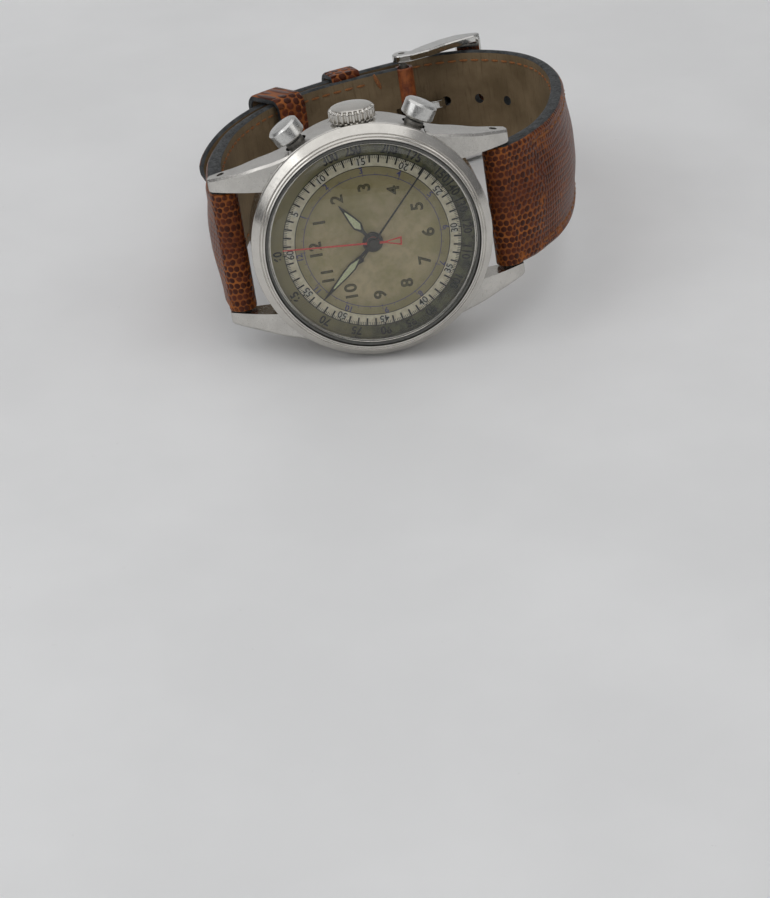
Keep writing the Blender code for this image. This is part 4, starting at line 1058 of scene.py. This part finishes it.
def stitch(bm, start, end, lift, r=0.2):
    """One stitch: a short bent cylinder whose ends sink into the leather."""
    along = end - start
    if along.length < 0.05:
        return
    rings = []
    sides = 8
    up = lift.normalized()
    aside = along.normalized().cross(up)
    for k in range(6):
        t = k / 5
        swell = math.sin(math.pi * t)
        centre = start.lerp(end, t) + up * (0.16 * swell - 0.10)
        reach = r * (0.55 + 0.45 * swell)
        rings.append([bm.verts.new(centre + up * reach * 0.8 * math.sin(2 * math.pi * i / sides)
                                   + aside * reach * math.cos(2 * math.pi * i / sides))
                      for i in range(sides)])
    tube(bm, rings)


def seam(strap, bm, start, end, side, lining_side, gap=2.1):
    """Stitches along one edge of the strap, on the outer leather or on the lining."""
    run = start
    while run < end - gap * 0.5:
        ends = []
        for spot in (run, min(run + gap * STITCH_SHARE, end)):
            half = strap.half(spot)
            across = side * (half - SEAM_INSET)
            depth = strap.edge(spot) if lining_side else -strap.top(spot, across / half)
            ends.append(strap.point(spot, across, (depth + 0.02) * (1 if lining_side else -1)))
        lift = Vector((0, *strap.at(run)[2])) * (1 if lining_side else -1)
        stitch(bm, *ends, lift)
        run += gap


LONG = Strap(LONG_ROUTE, 60, True)
SHORT = Strap(SHORT_ROUTE, 55, False)


def hole_runs():
    tongue = min(range(len(LONG.path)), key=lambda i: (LONG.path[i][0] - TONGUE_HOLE).length)
    return [LONG.runs[tongue] + step * PITCH for step in range(-2, 5)]


def leather_roll(near, far, half, centre):
    """Leather folded round a bar that lies along X, laid out with UVs as the strap is."""
    bm = laid(turned(rounded(mirrored([(near, -half), (far, -half)]), 0.2), 64), *centre)
    uv = bm.loops.layers.uv.new("lay")
    for face in bm.faces:
        for loop in face.loops:
            spot = loop.vert.co
            angle = math.atan2(spot.z - centre[1], spot.y - centre[0])
            loop[uv].uv = (angle * far / 10, spot.x / 10)
    return bm


def plain_leather():
    """Bare orange-brown leather that shows where the strap is folded round the buckle."""
    n = Nodes("folded_leather")
    at = n.place()
    cloud = n.noise(at, 0.7, 5, 0.6)
    lines = n.noise(n.stretch(at, (0.5, 4.0, 4.0)), 1.5, 3)
    base = n.fade(cloud, (0.13, 0.03, 0.012), (0.34, 0.095, 0.022))
    base = n.mix(n.times(n.band(lines, 0.5, 0.7), 0.5), base, (0.08, 0.02, 0.01))
    return n.finish(base, n.band(cloud, 0.3, 0.7, 0.3, 0.5), n.bump(lines, 0.06))


def build_strap():
    skins = (lizard("lizard_skin", 11.0), edge_paint(), lining())
    for strap, name, steps in ((LONG, "long", 240), (SHORT, "short", 170)):
        bm = strap_mesh(strap, steps)
        if strap is LONG:
            for run in hole_runs():
                place, slope, wrist = strap.at(run)
                punch = rod(HOLE_R, -3, 3, 24)
                for face in punch.faces:
                    face.material_index = 1
                turn = Vector((0, wrist.x, wrist.y)).to_track_quat("Z", "X").to_matrix().to_4x4()
                turn.translation = (0, place.x, place.y)
                bm = boolean(bm, punch, turn=turn)
        else:
            # the slot that the tongue swings in
            slot_place = Matrix.Translation((0, BUCKLE_BAR[0] - 1.0, BUCKLE_BAR[1] - 0.4))
            bm = boolean(bm, box(2.8, 6.4, 6.0), turn=slot_place)
            # the end stops short of the bar, and a fold of bare leather goes round it
            bm = boolean(bm, along_x(1.2, -12, 12, *BUCKLE_BAR))
            for side in (1, -1):
                fold = leather_roll(0.95, 1.53, 3.28, BUCKLE_BAR)
                bmesh.ops.translate(fold, vec=(side * 4.7, 0, 0), verts=fold.verts)
                piece("buckle_fold_" + ("a" if side > 0 else "b"), fold, plain_leather())
        made = piece("strap_%s_leather" % name, bm, skins[0], nodes=("strap_" + name,), smooth=50)
        for skin in skins[1:]:
            made.data.materials.append(skin)
        end = 1 if strap is SHORT else -1
        wrap = leather_roll(1.02, 2.03, strap.half(0), (end * BAR_Y, BAR_Z))
        piece("strap_%s_roll" % name, wrap, skins[0])

        sewn = bmesh.new()
        last = strap.length - (17 if strap is LONG else 6)
        for side in (1, -1):
            for lining_side in (False, True):
                seam(strap, sewn, 6.0, last, side, lining_side)
        if strap is SHORT:
            # the lace that ties the fold shows on the lining at each edge
            for side in (1, -1):
                spot = strap.length - 5.4
                stitch(sewn, strap.point(spot, side * 8.0, strap.edge(spot)),
                       strap.point(spot + 0.9, side * 5.4, strap.edge(spot)),
                       Vector((0, *strap.at(spot)[2])), 0.34)
        if strap is LONG:
            # the seam follows the rounded tip
            for side in (1, -1):
                for lining_side in (False, True):
                    seam(strap, sewn, last + 0.3, strap.length - 3.6, side, lining_side, 1.6)
        piece("strap_%s_stitching" % name, sewn, thread(), smooth=60)


# A keeper's run is counted from here, in centimetres, which gives it the round scales
KEEPER_START = -7.0


def keeper(name, centre, heading, thick, half, body, node, look, paint, inside, sewn=False):
    """A leather loop round the strap, rounded at its corners, with painted edges. One that is
    sewn in leaves out the run along the lining, where its ends go between the leathers."""
    wide, wall = 8.2, 1.05
    tangent = Vector((0, math.cos(math.radians(heading)), math.sin(math.radians(heading))))
    normal = Vector((0, tangent.z, -tangent.y))
    turn = Matrix((Vector((1, 0, 0)), normal, tangent)).transposed().to_4x4()
    turn.translation = Vector((0, *centre)) * MM

    def loop(x, y, r, dip):
        points = []
        for cx, cy, start in ((x - r, y - r, 0), (r - x, y - r, 90), (r - x, r - y, 180),
                              (x - r, r - y, 270)):
            points += circle(r, 9, (cx, cy), math.radians(start), math.radians(start + 90))
        if not sewn:
            return points
        over = [point for point in points if point[1] > 0]
        return [(x - 1.3, -dip * 1.6), (x - 0.1, -dip), *over, (0.1 - x, -dip),
                (1.3 - x, -dip * 1.6)]
    outer = loop(wide + wall, thick + wall, 1.0 + wall, 0.93)
    inner = loop(wide, thick, 1.0, 0.66)
    # section of the band, from the outer leather round to the lining: share out, place along
    section = [(1.0, -half * 0.55), (1.0, 0.0), (1.0, half * 0.55), (0.97, half * 0.9),
               (0.82, half), (0.18, half), (0.0, half * 0.93), (0.0, 0.0), (0.0, -half * 0.93),
               (0.18, -half), (0.82, -half), (0.97, -half * 0.9)]
    kinds = [0, 0, 0, 0, 1, 1, 2, 2, 1, 1, 0, 0]
    bm = bmesh.new()
    uv = bm.loops.layers.uv.new("lay")
    rings = []
    run = 0.0
    for i, (far, near) in enumerate(zip(outer, inner)):
        out, into = Vector(far), Vector(near)
        if i:
            run += (out - Vector(outer[i - 1])).length
        rings.append([(bm.verts.new((*into.lerp(out, s), along)), run / 10 + KEEPER_START,
                       along / 10) for s, along in section])
    if sewn:
        bm.faces.new([corner[0] for corner in rings[0]])
        bm.faces.new([corner[0] for corner in reversed(rings[-1])])
    else:
        rings.append([(vert, (run + 1) / 10 + KEEPER_START, v) for vert, u, v in rings[0]])
    sweep_leather(bm, uv, rings, kinds)
    made = piece(name, bm, look, body, (node,), turn, smooth=50)
    made.data.materials.append(paint)
    made.data.materials.append(inside)


def build_keepers():
    skin = lizard("keeper_skin", 7.5, 1.1, 0.14)
    paint, inside = bpy.data.materials["edge_paint"], bpy.data.materials["lining_leather"]
    keeper("fixed_keeper_loop", (-2.1, -59.05), 19, 2.65, 2.5, "watch", "fixed_keeper", skin, paint,
           inside, True)
    keeper("free_keeper_loop", (9.5, -52.85), 34, 3.35, 2.6, "keeper_body", "free_keeper", skin,
           paint, inside)


# ---------------------------------------------------------------- buckle and bars

def sideways(outline, low, high):
    """A plate whose outline lies in the plane of Y and Z, between two places along X."""
    bm = prism(outline, low, high)
    turn = Matrix(((0, 0, 1), (1, 0, 0), (0, 1, 0))).to_4x4()
    bmesh.ops.transform(bm, matrix=turn, verts=bm.verts)
    return bm


def ribbon(points, half):
    """The outline of a strip along the points."""
    spots = [Vector(p) for p in points]
    sides = ([], [])
    for i, spot in enumerate(spots):
        slope = (spots[min(i + 1, len(spots) - 1)] - spots[max(i - 1, 0)]).normalized()
        for side, sign in zip(sides, (half, -half)):
            side.append((spot.x - slope.y * sign, spot.y + slope.x * sign))
    return sides[0] + sides[1][::-1]


def build_buckle():
    polish = steel("buckle_steel", (0.66, 0.655, 0.635), 0.12, 1.0)
    eye = circle(1.6, 22, (0, 0), math.radians(-150), math.radians(75))
    arm = [(-1.4, 1.6), (-4.4, 0.5), (-7.6, -1.55), (-10.6, -2.95), (-12.6, -3.8), (-13.6, -4.5),
           (-13.5, -5.2), (-12.2, -5.75), (-9.7, -6.0), (-6.8, -4.85), (-3.4, -2.6)]
    front = [(-13.65, -4.3), (-13.6, -5.1), (-12.9, -5.5), (-11.4, -5.98), (-9.7, -6.22),
             (-9.4, -5.9), (-9.6, -4.95), (-11.5, -4.45), (-13.3, -3.9)]
    bm = fused(sideways(eye + arm, 9.1, 10.3), sideways(eye + arm, -10.3, -9.1),
               sideways(front, -9.6, 9.6))
    # notch in the front bar that takes the tongue's tip
    notch_place = Matrix.Translation((0, -11.7, -6.4)) @ Matrix.Rotation(-0.25, 4, "X")
    bm = boolean(bm, box(1.5, 8.0, 0.5), turn=notch_place)
    bm = boolean(worn(bm, 0.12, 9), along_x(0.55, -13, 13))
    place = Matrix.Translation(Vector((0, *BUCKLE_BAR)) * MM)
    piece("buckle_loop", bm, polish, "buckle_body", ("buckle_frame",), place, smooth=70,
          even=False)
    bar = mirrored([(0, -10.2), (0.45, -10.2), (0.45, -8.4), (0.7, -8.4)])
    piece("buckle_pin", laid(turned(rounded(bar, 0.05), 32)), DARK_STEEL, "buckle_body",
          ("buckle_bar",), place)
    path = ((-0.6, -0.85), (-2.2, -2.3), (-3.6, -2.6), (-5.6, -2.85), (-7.55, -5.65), (-8.8, -6.8),
            (-10.2, -7.1), (-11.5, -6.9))
    smooth = [spot for spot, slope in smooth_path(path, 5)]
    prong = fused(sideways(ribbon(smooth, 0.38), -0.64, 0.64), along_x(1.3, -0.64, 0.64))
    prong = boolean(worn(prong, 0.08, 6), along_x(0.8, -3, 3))
    piece("buckle_prong", prong, polish, "tongue_body", ("buckle_tongue",), place, smooth=70,
          even=False)


def build_spring_bars():
    profile = mirrored([(0, -11.2), (0.42, -11.2), (0.42, -9.0), (BAR_R, -9.0)])
    for name, end in (("12", 1), ("6", -1)):
        bm = laid(turned(rounded(profile, 0.06), 32), end * BAR_Y, BAR_Z)
        piece("lug_bar_" + name, bm, DARK_STEEL, nodes=("spring_bar_" + name,))


def finish_hidden():
    """Give the closed movement's CAD pieces a grained plate, brass or steel."""
    nickel = plated("grained_nickel", (0.70, 0.69, 0.66), 0.3, (0.4, 6.0, 1.0))
    brass = plated("grained_brass", (0.78, 0.62, 0.34), 0.28, (5.0, 5.0, 0.5))
    blued = plated("grained_steel", (0.56, 0.55, 0.53), 0.25, (0.5, 7.0, 7.0))
    gum = rubber_like("gasket_gum", (0.05, 0.05, 0.05))
    looks = {"plate_nickel": nickel, "gear_brass": brass, "movement_steel": blued, "seal": gum,
             "brushed_steel": plated("tube_steel", (0.40, 0.39, 0.37), 0.3, (3.0, 3.0, 3.0))}
    for part in frame["record"]["subparts"]:
        look = looks.get(part["material_slot"])
        node = frame["nodes"].get(part["node"])
        if look and node:
            node.data.materials.clear()
            node.data.materials.append(look)


# ---------------------------------------------------------------- floor, light and camera

def build_floor():
    n = Nodes("pale_floor")
    at = n.floor_place()
    cloud = n.noise(at, 0.02, 4)
    dust = n.band(n.noise(at, 0.9, 3, 0.7), 0.72, 0.76)
    base = n.fade(cloud, (0.80, 0.80, 0.80), (0.86, 0.86, 0.86))
    base = n.mix(n.times(dust, 0.3), base, (0.30, 0.28, 0.26))
    look = n.finish(base, 0.55, n.bump(n.noise(at, 1.5, 4), 0.01))
    # one sheet that curves up behind the watch
    bm = bmesh.new()
    rows = [(-0.9, 0.0), (0.45, 0.0)]
    rows += [(0.45 + 0.35 * math.sin(t), 0.35 - 0.35 * math.cos(t)) for t in
             (math.pi / 2 * k / 24 for k in range(1, 25))]
    rows.append((0.8, 1.6))
    rings = [[bm.verts.new((x, y, z)) for x in (-1.6, 1.6)] for y, z in rows]
    for near, far in zip(rings, rings[1:]):
        bm.faces.new((near[0], near[1], far[1], far[0]))
    mesh = mesh_of(bm, "floor")
    mesh.materials.append(look)
    mesh.shade_smooth()
    placed("floor", mesh)


def lamp(name, place, target, size, power, color=(1.0, 1.0, 1.0)):
    light = bpy.data.lights.new(name, "AREA")
    light.shape = "RECTANGLE"
    light.size, light.size_y = size
    light.energy = power
    light.color = color
    made = placed(name, light)
    made.location = place
    made.rotation_euler = (Vector(target) - Vector(place)).to_track_quat("-Z", "Y").to_euler()


def build_light():
    world = bpy.data.worlds.new("studio")
    bpy.context.scene.world = world
    world.use_nodes = True
    tree = world.node_tree
    back = tree.nodes["Background"]
    coord = tree.nodes.new("ShaderNodeTexCoord")
    parts = tree.nodes.new("ShaderNodeSeparateXYZ")
    shade = tree.nodes.new("ShaderNodeValToRGB")
    tree.links.new(coord.outputs["Generated"], parts.inputs[0])
    tree.links.new(parts.outputs[2], shade.inputs[0])
    tree.links.new(shade.outputs[0], back.inputs[0])
    stops = shade.color_ramp.elements
    stops[0].color = (0.34, 0.34, 0.35, 1)
    stops[1].color = (0.92, 0.93, 0.95, 1)
    stops[1].position = 0.8
    back.inputs[1].default_value = 0.37
    middle = (0.0, 0.0, 0.02)
    lamp("overhead", (-0.08, 0.05, 0.8), middle, (1.3, 1.1), 3.0)
    lamp("left", (-0.55, -0.25, 0.35), middle, (0.5, 0.5), 0.95, (0.98, 0.99, 1.0))
    lamp("right", (0.5, -0.3, 0.30), middle, (0.35, 0.5), 0.45, (1.0, 0.985, 0.96))
    lamp("front", (0.0, -0.75, 0.35), middle, (0.5, 0.3), 0.4)


# Where the photographer stood, in the watch frame, and how the picture lies round the dial
EYE = (119.7, 16.2, 343.0)
RIGHT = Vector((-0.142, -0.985, 0.101))
DOWN = Vector((-0.936, 0.167, 0.31))
AWAY = Vector((-0.322, -0.051, -0.946))
SENSOR = 36.0
LENS = 100.796
TILT = math.radians(5.2169)


def build_camera():
    """The camera stands where the photograph's did and looks a little below the watch."""
    turn = Matrix((RIGHT, -DOWN, -AWAY)).transposed()
    turn = turn @ Matrix.Rotation(-TILT, 3, "X")
    lens = bpy.data.cameras.new("camera")
    lens.sensor_fit = "VERTICAL"
    lens.sensor_height = SENSOR
    lens.lens = LENS
    lens.clip_start = 0.01
    made = placed("camera", lens)
    place = WATCH @ (Vector(EYE) * MM)
    pose = WATCH.to_3x3() @ turn
    made.matrix_world = Matrix.Translation(place) @ pose.normalized().to_4x4()
    bpy.context.scene.camera = made


build_camera()
build_floor()
build_light()
finish_hidden()
build_case()
build_crown()
build_pushers()
build_dial()
build_hands()
build_strap()
build_keepers()
build_buckle()
build_spring_bars()

bpy.context.scene.view_settings.view_transform = "Standard"
